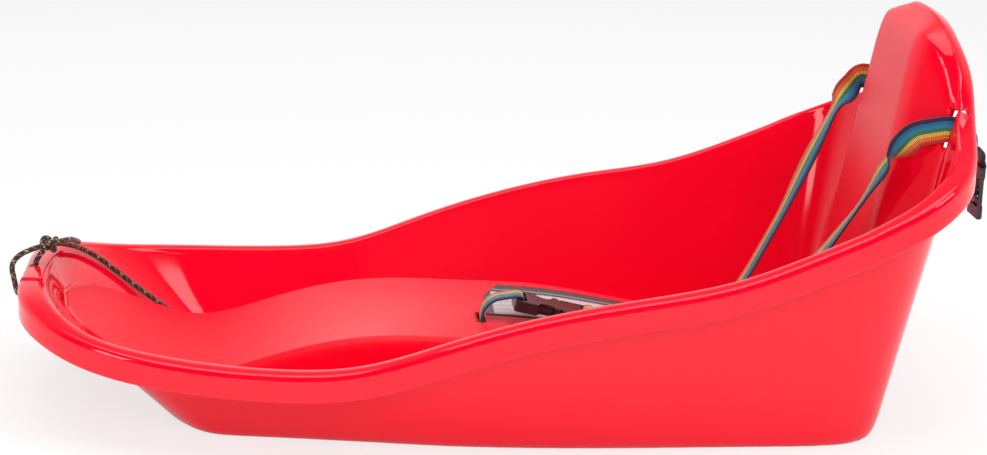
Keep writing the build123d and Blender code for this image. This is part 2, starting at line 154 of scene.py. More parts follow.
class ShellSettings(bpy.types.PropertyGroup):
    red: tint("Red", "Colour of the moulded plastic", (0.86, 0.0007, 0.019))
    gloss: share("Gloss roughness", "Roughness of the polished walls", 0.07)
    satin: share("Satin roughness", "Roughness of the textured floor and back pad", 0.36)
    crest: size("Crest radius", "Rounding of the rim's edges", 0.0042, 0.001, 0.006)


class WebbingSettings(bpy.types.PropertyGroup):
    width: size("Width", "Width of the webbing", WEB_WIDTH, 0.015, 0.022)
    rib: size("Rib pitch", "Distance between the webbing's crosswise ribs", 0.00135, 0.001, 0.003)
    navy: tint("Navy", "First stripe", (0.012, 0.012, 0.045))
    blue: tint("Blue", "Second stripe", (0.005, 0.14, 0.42))
    teal: tint("Teal", "Third stripe", (0.005, 0.27, 0.33))
    green: tint("Green", "Fourth stripe", (0.02, 0.21, 0.11))
    yellow: tint("Yellow", "Fifth stripe", (0.83, 0.55, 0.07))
    orange: tint("Orange", "Sixth stripe", (0.80, 0.20, 0.035))
    red: tint("Red", "Last stripe", (0.62, 0.03, 0.03))


class RopeSettings(bpy.types.PropertyGroup):
    diameter: size("Diameter", "Diameter of the tow rope", ROPE, 0.003, 0.006)
    plait: size("Plait", "Length of one turn of a strand round the rope", 0.0125, 0.006, 0.03)
    dark: tint("Dark strands", "Colour of most strands", (0.012, 0.016, 0.028))
    steel: tint("Blue strands", "Colour of some strands", (0.03, 0.05, 0.10))
    gold: tint("Gold tracer", "Colour of the yellow tracer strand", (0.72, 0.42, 0.06))
    ember: tint("Orange tracer", "Colour of the orange tracer strand", (0.66, 0.13, 0.04))


class HardwareSettings(bpy.types.PropertyGroup):
    black: tint("Black plastic", "Colour of the buckle and sliders", (0.012, 0.011, 0.013))
    pale: tint("Label panel", "Colour of the label's pale panel", (0.60, 0.52, 0.54))
    strip: tint("Label strip", "Colour of the label's dark strip", (0.045, 0.042, 0.05))
    band: tint("Tie band", "Colour of the band round the rope", (0.02, 0.02, 0.024))


class StageSettings(bpy.types.PropertyGroup):
    level: bpy.props.FloatProperty(name="Light level", description="Strength of all the lamps",
                                   default=1.0, min=0.1, max=3)
    floor: tint("Floor", "Colour of the floor", (0.93, 0.93, 0.93))


# ---------------------------------------------------------------- curves and grids

def cubic(knots, values, periodic=False):
    """Second derivatives of the smooth cubic through the values: they make slope and bend run
    on from span to span, and are zero at the ends, or join up where the curve is closed."""
    count, gap = len(values), np.diff(knots)
    rows = np.zeros((count, count))
    right = np.zeros((count, values.shape[1]))
    step = np.diff(values, axis=0) / gap[:, None]
    for i in range(1, count - 1):
        rows[i, i - 1:i + 2] = gap[i - 1], 2 * (gap[i - 1] + gap[i]), gap[i]
        right[i] = 6 * (step[i] - step[i - 1])
    if periodic:
        rows[0, 0], rows[0, -1] = 1, -1
        rows[-1, 0], rows[-1, 1] = 2 * gap[0], gap[0]
        rows[-1, -2], rows[-1, -1] = gap[-1], 2 * gap[-1]
        right[-1] = 6 * (step[0] - step[-1])
    else:
        rows[0, 0] = rows[-1, -1] = 1
    return np.linalg.solve(rows, right)


def smooth_line(knots, values, at, periodic=False):
    """The smooth cubic through the values, read at other places."""
    values = np.asarray(values, float)
    bend = cubic(knots, values, periodic)
    i = np.clip(np.searchsorted(knots, at, side="right") - 1, 0, len(knots) - 2)
    gap = (knots[i + 1] - knots[i])[:, None]
    b = (at - knots[i])[:, None] / gap
    a = 1 - b
    return (a * values[i] + b * values[i + 1]
            + ((a ** 3 - a) * bend[i] + (b ** 3 - b) * bend[i + 1]) * gap ** 2 / 6)


def lengths(points):
    """Distance run along a row of points."""
    return np.concatenate([[0], np.cumsum(np.linalg.norm(np.diff(points, axis=0), axis=1))])


def read_along(points, run, goal):
    """Places on a row of points, where a distance along it is given."""
    return np.stack([np.interp(goal, run, column) for column in points.T], -1)


def higher(a, b, soft):
    """The greater of two, with their meeting rounded over a height of soft."""
    near = np.maximum(soft - np.abs(a - b), 0)
    return np.maximum(a, b) + near ** 2 / (4 * soft)


def lower(a, b, soft):
    """The lesser of two, with their meeting rounded over a height of soft."""
    return -higher(-a, -b, soft)


def ramp(value, low, high):
    """0 below low, 1 above high, and a smooth step between."""
    t = np.clip((value - low) / (high - low), 0, 1)
    return t * t * (3 - 2 * t)


def unit(vectors):
    """Vectors of length one."""
    return vectors / np.maximum(np.linalg.norm(vectors, axis=-1, keepdims=True), 1e-12)


def surface(name, points, uv=None, wrap=(False, False), caps=False):
    """A grid of points as quads. wrap joins its last row or column to its first, and caps
    closes the two ends of a tube with one face each."""
    rows, columns = points.shape[:2]
    i = np.arange(rows if wrap[0] else rows - 1)[:, None]
    j = np.arange(columns if wrap[1] else columns - 1)[None, :]
    corners = [(i, j), (i + 1, j), (i + 1, j + 1), (i, j + 1)]
    index = np.stack([(a % rows) * columns + b % columns + 0 * (i + j) for a, b in corners], -1)
    faces = index.reshape(-1, 4).tolist()
    if caps:
        first, last = range(columns), range((rows - 1) * columns, rows * columns)
        faces += [list(first)[::-1], list(last)]
    mesh = bpy.data.meshes.new(name)
    mesh.from_pydata(points.reshape(-1, 3).tolist(), [], faces)
    if uv is not None:
        flat = np.stack([uv[a + 0 * j, b + 0 * i] for a, b in corners], 2).reshape(-1, 2)
        if caps:
            flat = np.concatenate([flat, np.zeros((2 * columns, 2))])
        layer = mesh.uv_layers.new(name="UVMap")
        layer.data.foreach_set("uv", flat.astype(np.float32).ravel())
    mesh.polygons.foreach_set("use_smooth", np.ones(len(mesh.polygons), bool))
    mesh.update()
    return shown(name, mesh)


def shown(name, data):
    """A new object in the scene."""
    made = bpy.data.objects.new(name, data)
    bpy.context.scene.collection.objects.link(made)
    return made


def turned_out(piece):
    """Points every face of a closed mesh outwards."""
    work = bmesh.new()
    work.from_mesh(piece.data)
    bmesh.ops.recalc_face_normals(work, faces=work.faces)
    work.to_mesh(piece.data)
    work.free()
    return piece


def attribute(piece, name, values):
    """A number on each point of a mesh."""
    made = piece.data.attributes.new(name, "FLOAT", "POINT")
    made.data.foreach_set("value", np.asarray(values, np.float32).ravel())


def modifier(piece, kind, **values):
    """A modifier with its settings."""
    made = piece.modifiers.new(kind.title(), kind)
    for key, value in values.items():
        setattr(made, key, value)
    return made


def applied(piece):
    """The piece with its modifiers worked into its mesh."""
    bpy.context.view_layer.update()
    graph = bpy.context.evaluated_depsgraph_get()
    made = bpy.data.meshes.new_from_object(piece.evaluated_get(graph))
    old = piece.data
    piece.modifiers.clear()
    piece.data = made
    bpy.data.meshes.remove(old)
    return piece


def fit(piece, node, slot, material, *more):
    """The piece stands in for a frame node, whose CAD pieces it hides, and takes the given finish.
    The slot argument is not used.
    """
    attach(piece, "root")
    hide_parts(node, *more)
    piece.data.materials.clear()
    piece.data.materials.append(material)
    return piece


# ---------------------------------------------------------------- finishes

def node(tree, kind, links=None, **values):
    """A shader node with its settings, and its sockets linked or set."""
    made = tree.nodes.new(kind)
    for key, value in values.items():
        setattr(made, key, value)
    for key, value in (links or {}).items():
        if isinstance(value, bpy.types.NodeSocket):
            tree.links.new(value, made.inputs[key])
        else:
            made.inputs[key].default_value = value
    return made


def split(tree, place):
    """The separate coordinates of a place."""
    return node(tree, "ShaderNodeSeparateXYZ", {0: place}).outputs


def ray_kinds(tree):
    """Whether a ray is the camera's own, and whether it comes by a reflection."""
    rays = node(tree, "ShaderNodeLightPath").outputs
    return rays["Is Camera Ray"], sums(tree, "MAXIMUM", rays["Is Glossy Ray"],
                                       rays["Is Transmission Ray"])


def sums(tree, operation, *values):
    """A Math node's result."""
    links = dict(enumerate(values))
    return node(tree, "ShaderNodeMath", links, operation=operation).outputs[0]


def blended(tree, factor, a, b, way="MIX"):
    """A colour between two others, or their product."""
    return node(tree, "ShaderNodeMix", {0: factor, 6: a, 7: b}, data_type="RGBA",
                blend_type=way).outputs[2]


def eased(tree, value, low, high, at_low, at_high):
    """A number that goes smoothly from one value to another as the given one rises."""
    return node(tree, "ShaderNodeMapRange", {0: value, 1: low, 2: high, 3: at_low, 4: at_high},
                interpolation_type="SMOOTHSTEP").outputs[0]


def full(colour, strength=1.0):
    """A colour with its alpha, a little brighter or darker."""
    return tuple(min(1.0, c * strength) for c in colour) + (1.0,)


def finish_named(name):
    """A new material's tree, its shader, and the coordinates that it may read."""
    made = bpy.data.materials.new(name)
    made.use_nodes = True
    tree = made.node_tree
    shader = tree.nodes["Principled BSDF"]
    return made, tree, shader, node(tree, "ShaderNodeTexCoord")


def grain(tree, place, scale, detail=2.0, rough=0.5):
    """Noise of a scale, from 0 to 1."""
    links = {"Vector": place, "Scale": scale, "Detail": detail, "Roughness": rough}
    return node(tree, "ShaderNodeTexNoise", links).outputs["Fac"]


def relief(tree, shader, height, distance, strength=1.0):
    """A bump of a height field."""
    made = node(tree, "ShaderNodeBump",
                {"Height": height, "Distance": distance, "Strength": strength})
    tree.links.new(made.outputs["Normal"], shader.inputs["Normal"])


def red_plastic(settings):
    """Moulded plastic: polished walls, and a fine satin grain where the attribute says so."""
    made, tree, shader, where = finish_named("Moulded red plastic")
    place = where.outputs["Object"]
    satin = node(tree, "ShaderNodeAttribute", attribute_name="satin").outputs["Fac"]
    cloud = grain(tree, place, 7.0, 3.0)
    fine = grain(tree, place, 950.0, 2.0)
    ripple = grain(tree, place, 34.0, 1.0)
    shade = blended(tree, cloud, full(settings.red, 0.93), full(settings.red, 1.05))
    worn = blended(tree, sums(tree, "MULTIPLY", satin, fine), shade, full((0.84, 0.012, 0.030)))
    tree.links.new(worn, shader.inputs["Base Color"])
    spread = settings.satin - settings.gloss
    base = sums(tree, "MULTIPLY_ADD", satin, spread, settings.gloss)
    scuff = sums(tree, "MULTIPLY_ADD", grain(tree, place, 46.0, 5.0, 0.6), 0.07, -0.035)
    tree.links.new(sums(tree, "ADD", base, sums(tree, "MULTIPLY", scuff, sums(
        tree, "MULTIPLY_ADD", satin, 0.8, 0.2))), shader.inputs["Roughness"])
    height = sums(tree, "ADD", sums(tree, "MULTIPLY", fine, sums(
        tree, "MULTIPLY", satin, 0.00016)), sums(tree, "MULTIPLY", ripple, 0.00003))
    relief(tree, shader, height, 1.0, 0.7)
    # the textured floor is duller where feet have rubbed it, towards the nose
    duller = eased(tree, split(tree, place)[0], 0.06, 0.19, 0.0, -0.36)
    tree.links.new(sums(tree, "MULTIPLY_ADD", satin, duller, 0.46),
                   shader.inputs["Specular IOR Level"])
    shader.inputs["IOR"].default_value = 1.5
    return made


def striped_webbing(settings):
    """Woven webbing: seven lengthwise stripes of different yarn, crossed by fine ribs, with painted
    shade darkening the grooves between the ribs.
    """
    made, tree, shader, where = finish_named("Striped webbing")
    across, along = split(tree, where.outputs["UV"])[:2]
    wobble = grain(tree, where.outputs["Object"], 700.0, 1.0)
    ribs = sums(tree, "MULTIPLY_ADD", wobble, 0.25, sums(tree, "DIVIDE", along, settings.rib))
    wave = sums(tree, "SINE", sums(tree, "MULTIPLY", ribs, 2 * math.pi))
    stray = sums(tree, "MULTIPLY_ADD", wave, 0.006, across)
    stripes = node(tree, "ShaderNodeValToRGB", {"Fac": stray})
    stripes.color_ramp.interpolation = "CONSTANT"
    names = ("navy", "blue", "teal", "green", "yellow", "orange", "red")
    starts = (0.0, 0.17, 0.30, 0.43, 0.56, 0.70, 0.86)
    elements = stripes.color_ramp.elements
    while len(elements) < len(names):
        elements.new(0.5)
    for element, start, name in zip(elements, starts, names):
        element.position = start
        element.color = full(getattr(settings, name))
    groove = sums(tree, "MULTIPLY_ADD", wave, 0.5, 0.5)
    yarn = grain(tree, where.outputs["Object"], 1600.0, 2.0)
    # painted shade: the stripes are darker in the grooves between the crosswise ribs and lighter on
    # their crowns, mixed with the yarn's own uneven tone
    rib_shade_and_yarn = sums(tree, "MULTIPLY_ADD", groove, 0.62, sums(tree, "MULTIPLY_ADD", yarn, 0.35, 0.28))
    woven = blended(tree, 1.0, stripes.outputs["Color"], rib_shade_and_yarn, "MULTIPLY")
    tree.links.new(woven, shader.inputs["Base Color"])
    shader.inputs["Roughness"].default_value = 0.62
    shader.inputs["Sheen Weight"].default_value = 0.25
    relief(tree, shader, sums(tree, "ADD", sums(tree, "MULTIPLY", groove, 0.7), yarn), 0.00025)
    return made


def black_plastic(settings):
    """Dark moulded plastic with a soft shine, faintly scuffed."""
    made, tree, shader, where = finish_named("Black plastic")
    place = where.outputs["Object"]
    shade = blended(tree, grain(tree, place, 160.0, 4.0), full(settings.black, 0.8),
                    full(settings.black, 1.9))
    tree.links.new(shade, shader.inputs["Base Color"])
    tree.links.new(sums(tree, "MULTIPLY_ADD", grain(tree, place, 420.0, 3.0), 0.22, 0.16),
                   shader.inputs["Roughness"])
    relief(tree, shader, grain(tree, place, 2400.0, 2.0), 0.00004, 0.5)
    return made


def foil_label(settings):
    """Blank foil: a dark strip along its far edge, a pale panel with faint plain bands."""
    made, tree, shader, where = finish_named("Blank foil label")
    x, y = split(tree, where.outputs["UV"])[:2]
    cloud = grain(tree, where.outputs["Object"], 260.0, 4.0)
    edge = sums(tree, "MAXIMUM", sums(tree, "LESS_THAN", y, 0.20), sums(
        tree, "MAXIMUM", sums(tree, "GREATER_THAN", x, 0.945), sums(tree, "GREATER_THAN", y, 0.96)))
    line = sums(tree, "COMPARE", y, 0.135, 0.014)
    bands = sums(tree, "GREATER_THAN", sums(tree, "SINE", sums(
        tree, "MULTIPLY", y, 42.0)), 0.55)
    panel = blended(tree, sums(tree, "MULTIPLY", bands, 0.35), full(settings.pale),
                    full(settings.pale, 0.45))
    dark = blended(tree, sums(tree, "MULTIPLY", line, 0.6), full(settings.strip),
                   full(settings.pale, 0.8))
    whole = blended(tree, edge, panel, dark)
    rubbed = blended(tree, sums(tree, "MULTIPLY", cloud, 0.22), whole, full((0.35, 0.30, 0.31)))
    tree.links.new(rubbed, shader.inputs["Base Color"])
    tree.links.new(sums(tree, "MULTIPLY_ADD", cloud, 0.25, 0.16), shader.inputs["Roughness"])
    relief(tree, shader, grain(tree, where.outputs["Object"], 90.0, 2.0), 0.0003, 0.5)
    return made


def braided_cover(settings):
    """Braid of eight strands each way: a strand's colour goes by its number, and the strand on
    top changes like a chessboard. UV is (turns round the rope, length in metres)."""
    made, tree, shader, where = finish_named("Braided rope")
    across, along = split(tree, where.outputs["UV"])[:2]
    strands = float(STRANDS)
    turn = sums(tree, "MULTIPLY", across, strands)
    run = sums(tree, "MULTIPLY", along, strands / settings.plait)
    ways = [sums(tree, "ADD", turn, run), sums(tree, "SUBTRACT", turn, run)]
    number = [sums(tree, "FLOORED_MODULO", sums(tree, "FLOOR", way), strands) for way in ways]
    middle = [sums(tree, "ABSOLUTE", sums(tree, "SUBTRACT", sums(tree, "FRACT", way), 0.5))
              for way in ways]
    odd = sums(tree, "FLOORED_MODULO", sums(tree, "ADD", number[0], number[1]), 2.0)
    tracers = [{1: settings.gold, 5: settings.steel, 2: settings.steel},
               {3: settings.ember, 7: settings.gold, 0: settings.steel}]
    colours = []
    for way, tracer in zip(number, tracers):
        colour = full(settings.dark)
        for strand, tinted in tracer.items():
            colour = blended(tree, sums(tree, "COMPARE", way, float(strand), 0.1), colour,
                             full(tinted))
        colours.append(colour)
    top = blended(tree, odd, colours[0], colours[1])
    yarn = grain(tree, where.outputs["Object"], 2600.0, 2.0)
    shade = blended(tree, sums(tree, "MULTIPLY", yarn, 0.5), top, full((0.01, 0.01, 0.012)))
    tree.links.new(shade, shader.inputs["Base Color"])
    shader.inputs["Roughness"].default_value = 0.55
    shader.inputs["Sheen Weight"].default_value = 0.2
    edge = sums(tree, "ADD", sums(tree, "MULTIPLY", middle[0], sums(tree, "SUBTRACT", 1.0, odd)),
                sums(tree, "MULTIPLY", middle[1], odd))
    relief(tree, shader, sums(tree, "MULTIPLY_ADD", edge, -1.4, yarn), 0.0002)
    return made


def band_cloth(settings):
    """Dull woven band."""
    made, tree, shader, where = finish_named("Woven band")
    threads = [sums(tree, "SINE", sums(tree, "MULTIPLY", way, often))
               for way, often in zip(split(tree, where.outputs["UV"]), (90.0, 7000.0))]
    cross = sums(tree, "MULTIPLY", *threads)
    fuzz = grain(tree, where.outputs["Object"], 1500.0, 3.0)
    shade = blended(tree, fuzz, full(settings.band, 0.7), full(settings.band, 2.6))
    tree.links.new(shade, shader.inputs["Base Color"])
    shader.inputs["Roughness"].default_value = 0.85
    relief(tree, shader, sums(tree, "MULTIPLY_ADD", cross, 0.5, fuzz), 0.0003)
    return made


# ---------------------------------------------------------------- the tub's shape

def loop_table():
    """Foot, slope and outline of the walls all the way round, as smooth closed curves.

    A wall's place at height z is foot + slope * z, for each place on the loop."""
    half = STATIONS
    loop = np.concatenate([half, half[-2:0:-1] * (1, -1, 1, 1, -1, 1)])
    loop = np.concatenate([loop, loop[:1]])
    knots = lengths(loop[:, :3])
    slope = (loop[:, :2] - loop[:, 3:5]) / loop[:, 2:3]
    at = np.linspace(0, knots[-1], 6001)
    read = smooth_line(knots, np.hstack([loop[:, 3:5], slope, loop[:, 2:3], loop[:, 5:6]]), at,
                       True)
    return {"at": at, "end": knots[-1], "foot": read[:, :2], "slope": read[:, 2:4],
            "guess": read[:, 4], "flange": read[:, 5], "half": knots[len(half) - 1]}


def looked_up(table, key, at):
    """A column or columns of the outline's table, read at places on it."""
    return read_along(np.atleast_2d(table[key].T).T, table["at"], at)


def sheer(x):
    """Height of the sides' rim at x."""
    line = STATIONS[:SIDE_STATIONS, [0, 2]]
    line = np.vstack([line, (-0.340, BACK_EDGE[0, 1])])[::-1]
    knots = lengths(line)
    read = smooth_line(knots, line, np.linspace(0, knots[-1], 800))
    return np.interp(x, read[:, 0], read[:, 1])


def back_height(y):
    """Height of the high back's edge at y, running on downwards beyond its foot."""
    edge = np.vstack([BACK_EDGE, (BACK_EDGE[:-1] * (-1, 1))[::-1]])
    knots = lengths(edge)
    read = smooth_line(knots, edge, np.linspace(0, knots[-1], 1200))[::-1]
    beyond = np.maximum(np.abs(y) - BACK_EDGE[0, 0], 0)
    return np.interp(y, read[:, 0], read[:, 1]) - BACK_EDGE_FALL * beyond


def rim_height(x, y):
    """Height of the rim over a place: the sides' line, or the high back's edge at the rear."""
    rear = ramp(-x, 0.250, 0.300)
    high = higher(sheer(x), back_height(y), BACK_EDGE_BEND)
    return sheer(x) + (high - sheer(x)) * rear


def floor_height(x, y):
    """Height of the raised floor: a line along its middle and one along its edges, with a
    shallow parabola between them."""
    front = FLOOR_LINE[-1, 0]
    at = np.linspace(FLOOR_LINE[0, 0], front, 700)
    read = smooth_line(FLOOR_LINE[:, 0], FLOOR_LINE[:, 1:], at)
    middle, edge = np.moveaxis(read_along(read, at, x), -1, 0)
    part = np.minimum(np.abs(y) / SEAT_HALF, 1.15) ** 2
    return middle + (edge - middle) * part + np.maximum(x - front, 0) * 0.5


def floor_block(x, y):
    """The raised floor with its steep sides."""
    side = np.interp(x, FLOOR_SIDE[:, 0], FLOOR_SIDE[:, 1])
    drop = floor_height(x, np.clip(y, -side, side)) + (side - np.abs(y)) * FLOOR_STEEP
    return lower(floor_height(x, y), drop, FLOOR_EDGE)


def pad_block(x, y):
    """The back pad: a leaning face, flanks that widen towards the rear, and a sloping top."""
    behind = PAD_FOOT - x
    face = behind / PAD_LEAN
    spread = PAD_HALF + behind * FLANK_SPREAD - np.sqrt(y * y + PAD_RIDGE ** 2)
    flank = spread / (PAD_TAPER + PAD_LEAN * FLANK_SPREAD)
    crown_x = PAD_FOOT - PAD_LEAN * PAD_CROWN
    top = PAD_CROWN + (crown_x - x) * CROWN_SLOPE
    top = lower(top, rim_height(x, y) + 1.0 * MM, PAD_RIM_EDGE)
    return lower(lower(face, flank, PAD_EDGE), top, PAD_TOP_EDGE)


def wall_height(table, x, y, at, z):
    """Height of the inner wall over a place, by Newton's steps on foot + slope * z = place."""
    span = table["at"]
    foot, slope = table["inner"], table["slope"]
    rate = [np.gradient(c, span) for c in (foot[:, 0], foot[:, 1], slope[:, 0], slope[:, 1])]
    for _ in range(14):
        m = np.mod(at, table["end"])
        fx, fy = np.interp(m, span, foot[:, 0]), np.interp(m, span, foot[:, 1])
        sx, sy = np.interp(m, span, slope[:, 0]), np.interp(m, span, slope[:, 1])
        tx = np.interp(m, span, rate[0]) + np.interp(m, span, rate[2]) * z
        ty = np.interp(m, span, rate[1]) + np.interp(m, span, rate[3]) * z
        miss_x, miss_y = fx + sx * z - x, fy + sy * z - y
        det = tx * sy - ty * sx
        det = np.where(np.abs(det) < 0.02, 0.02 * np.sign(det), det)
        at = at + np.clip(-(miss_x * sy - miss_y * sx) / det, -ROUND_STEP, ROUND_STEP)
        rise = np.clip(-(tx * miss_y - ty * miss_x) / det, -RISE_STEP, RISE_STEP)
        z = np.clip(z + rise, *WALL_REACH)
    return z


def tub_height(table, x, y, at, z):
    """Height of the tub's upper skin over a place, and how far it is floor, pad or wall.

    The walls meet the ground in a rounding that is taller where they are steeper."""
    lean = np.linalg.norm(looked_up(table, "slope", at), axis=-1)
    share_of, least, most = WALL_TURN
    turn = np.clip(share_of / np.maximum(lean, 0.1), least, most)
    wall = wall_height(table, x, y, at, z)
    floor = floor_block(x, y)
    pad = pad_block(x, y)
    ground = np.full_like(x, WALL)
    inside = higher(higher(floor, ground, FLOOR_RUN_OUT), pad, PAD_RUN_OUT)
    whole = higher(inside, wall, turn)
    on_floor = ramp(floor - ground, 6 * MM, 16 * MM) * ramp(floor - wall, -2 * MM, 8 * MM)
    side = np.interp(x, FLOOR_SIDE[:, 0], FLOOR_SIDE[:, 1])
    on_floor = on_floor * ramp(side - np.abs(y), -2.0 * MM, 1.0 * MM)
    on_pad = ramp(pad - np.maximum(floor, ground), 0, 12 * MM) * ramp(pad - wall, -4 * MM, 10 * MM)
    half = PAD_HALF - PAD_TAPER * pad + 3 * MM
    on_face = on_pad * ramp(half - np.abs(y), -9 * MM, 7 * MM)
    return whole, np.maximum(on_floor * (1 - on_pad), on_face)


def crest_points(table, at):
    """Places on the rim where the inner wall, run on upwards, meets the rim's height."""
    foot, slope = looked_up(table, "inner", at), looked_up(table, "slope", at)
    z = looked_up(table, "guess", at)[:, 0]
    for _ in range(60):
        place = foot + slope * z[:, None]
        z = 0.5 * z + 0.5 * rim_height(place[:, 0], place[:, 1])
    place = foot + slope * z[:, None]
    return np.column_stack([place, z])


def rim_layout(settings):
    """Evenly spaced places round half the rim, by name: their distance "at" along the outline,
    the rim's "crest", the directions "away" and "down", the "flange" width, how far the place is
    "high" on the back, the inner rounding "r", and the "base" under it where a rib ends."""
    table = loop_table()
    outline = table["foot"] + table["slope"] * table["guess"][:, None]
    turn = np.gradient(outline, table["at"], axis=0)
    outward = unit(np.stack([turn[:, 1], -turn[:, 0]], -1))
    if (outward[:, 0] * table["foot"][:, 0]).sum() < 0:
        outward = -outward
    table["outward"], table["inner"] = outward, table["foot"] - outward * WALL

    dense = np.linspace(0, table["half"], 3000)
    run = lengths(crest_points(table, dense))
    at = np.interp(np.linspace(0, run[-1], RIBS + 1), run, dense)
    crest = crest_points(table, at)
    crest[[0, -1], 1] = 0

    heading = np.gradient(crest, axis=0)
    heading[0], heading[-1] = (0, 1, 0), (0, -1, 0)
    heading = unit(rounded(heading, 3))
    away = np.column_stack([looked_up(table, "outward", at), 0 * at])
    away = unit(away)
    down = np.cross(heading, away)
    down = unit(np.where(down[:, 2:3] > 0, -down, down))
    high = ramp(station_at(at), 11.8, 13.2)[:, None]
    r = settings.crest * (1 - high) + BACK_CREST * high
    lean = (looked_up(table, "slope", at) * away[:, :2]).sum(1)[:, None]
    base = crest + r * down + away * lean * r * down[:, 2:3]
    base[[0, -1], 1] = 0
    flange = looked_up(table, "flange", at) + WALL
    return {"table": table, "at": at, "crest": crest, "away": away, "down": down,
            "flange": flange, "high": high, "r": r, "base": base}


def rib_plan(at, base):
    """Each rib in plan, from the spine round a corner point to the rim: for s from 0 to 1 it is
    (1 - s)^2 start + 2 s (1 - s) corner + s^2 end."""
    order = station_at(at)
    spine_x = rounded(np.interp(order, SPINE[:, 0], MM * SPINE[:, 1]), 5)
    bent = ramp(order, 10.6, 12.4)
    start = np.stack([spine_x, 0 * spine_x], -1)
    corner = np.stack([
        (spine_x + base[:, 0]) / 2 * (1 - bent) + BACK_CORNER_X * bent,
        base[:, 1] / 2 * (1 - bent) + base[:, 1] * 0.97 * bent], -1)

    def plan(s):
        a, b, c = (1 - s) ** 2, 2 * s * (1 - s), s ** 2
        return [a * start[:, k, None] + b * corner[:, k, None] + c * base[:, k, None]
                for k in (0, 1)]

    return plan


def rib_points(rim):
    """Points of the upper skin on every rib, and how satin each is. They are spaced by the
    rib's length and by how sharply it bends."""
    table, at, base = rim["table"], rim["at"], rim["base"]
    plan = rib_plan(at, base)

    def raised(s):
        x, y = plan(s)
        first = np.repeat(at[:, None], x.shape[1], 1)
        z, satin = tub_height(table, x, y, first, np.repeat(base[:, 2:3] * 0.5, x.shape[1], 1))
        return x, y, z, satin

    fine = np.linspace(0, 1, 900)[None, :]
    step = np.stack([np.diff(v, axis=1) for v in raised(fine)[:3]], -1)
    bend = np.linalg.norm(np.diff(unit(step), axis=1), axis=-1)
    density = np.linalg.norm(step, axis=-1) + BEND_WEIGHT * np.pad(bend, ((0, 0), (1, 0)))
    density = rounded(density.T, 6).T
    total = np.pad(np.cumsum(density, 1), ((0, 0), (1, 0)))
    total = rounded(total / total[:, -1:], 6)
    s = np.stack([np.interp(np.linspace(0, 1, RIB_POINTS), row, fine[0]) for row in total])
    s[:, 0], s[:, -1] = 0, 1
    x, y, z, satin = raised(s)
    z[:, -1] = base[:, 2]
    return np.stack([x, y, np.minimum(z, base[:, 2:3])], -1), satin


def rim_points(settings, rim):
    """The rim's profile carried round it: over the crest in a quarter circle, out along the
    falling flange, round its edge in another and down the skirt. Every point is
    crest + away * out + down * sunk."""
    high, r, flange, edge = rim["high"], rim["r"], rim["flange"], settings.crest
    angle = np.linspace(0, math.pi / 2, 7)
    inner = np.stack([1 - np.cos(angle), 1 - np.sin(angle)], -1)[None, 1:] * r[..., None]
    top = np.array((1 / 3, 2 / 3)) * (flange - r - edge) + r
    top = np.stack([top, 0 * top - FLANGE_CROWN * (1 - high)], -1)
    skirt = edge * np.stack([np.sin(angle) - 1, 1 - np.cos(angle)], -1)
    skirt = np.vstack([skirt, [(0, 0.4 * SKIRT), (0, 0.7 * SKIRT), (0, SKIRT - 1.2 * MM),
                               (-0.3 * MM, SKIRT)]])
    skirt = skirt[None] + flange[..., None] * (1, 0)
    out, sunk = np.moveaxis(np.concatenate([inner, top, skirt], 1), 2, 0)
    fall = FLANGE_FALL + (BACK_FALL - FLANGE_FALL) * high
    sunk = sunk + fall * np.clip(out / flange, 0, 1) ** (1 + 0.4 * high)
    inset = -((rim["base"] - rim["crest"]) * rim["away"]).sum(1)[:, None]
    out[:, :6] -= inset * (1 - out[:, :6] / r)
    points = (rim["crest"][:, None] + rim["away"][:, None] * out[..., None]
              + rim["down"][:, None] * sunk[..., None])
    points[[0, -1], :, 1] = 0
    return points


def shell_skin(settings):
    """The tub's upper skin: ribs from its spine out to the rim, over it and down the skirt, and
    the same mirrored."""
    rim = rim_layout(settings)
    inner, satin = rib_points(rim)
    outer = rim_points(settings, rim)
    half = np.concatenate([inner, outer], 1)
    satin = np.concatenate([satin, np.zeros(outer.shape[:2])], 1)
    other = half[-2:0:-1] * (1, -1, 1)
    return np.concatenate([half, other]), np.concatenate([satin, satin[-2:0:-1]])


def station_at(at):
    """A distance along the half loop as a number of stations."""
    return np.interp(at, lengths(STATIONS[:, :3]), np.arange(len(STATIONS)))


def rounded(values, reach):
    """A row of values, each the mean of its neighbours."""
    kernel = np.hanning(2 * reach + 1)[1:-1]
    kernel = kernel / kernel.sum()
    pad = len(kernel) // 2
    rows = values if values.ndim == 2 else values[:, None]
    made = np.stack([np.convolve(np.pad(c, pad, "edge"), kernel, "valid") for c in rows.T], -1)
    return made if values.ndim == 2 else made[:, 0]


def cut(piece, places):
    """Cuts boxes or a round hole out of a piece: (middle, size, sides)."""
    for middle, extent, sides in places:
        work = bmesh.new()
        if sides:
            bmesh.ops.create_cone(work, cap_ends=True, segments=sides, radius1=0.5, radius2=0.5,
                                  depth=1)
        else:
            bmesh.ops.create_cube(work, size=1)
        for v in work.verts:
            v.co = [middle[k] + v.co[k] * extent[k] for k in range(3)]
        mesh = bpy.data.meshes.new("cutter")
        work.to_mesh(mesh)
        work.free()
        tool = shown("cutter", mesh)
        modifier(piece, "BOOLEAN", operation="DIFFERENCE", solver="MANIFOLD", object=tool)
        applied(piece)
        bpy.data.objects.remove(tool)
    return piece


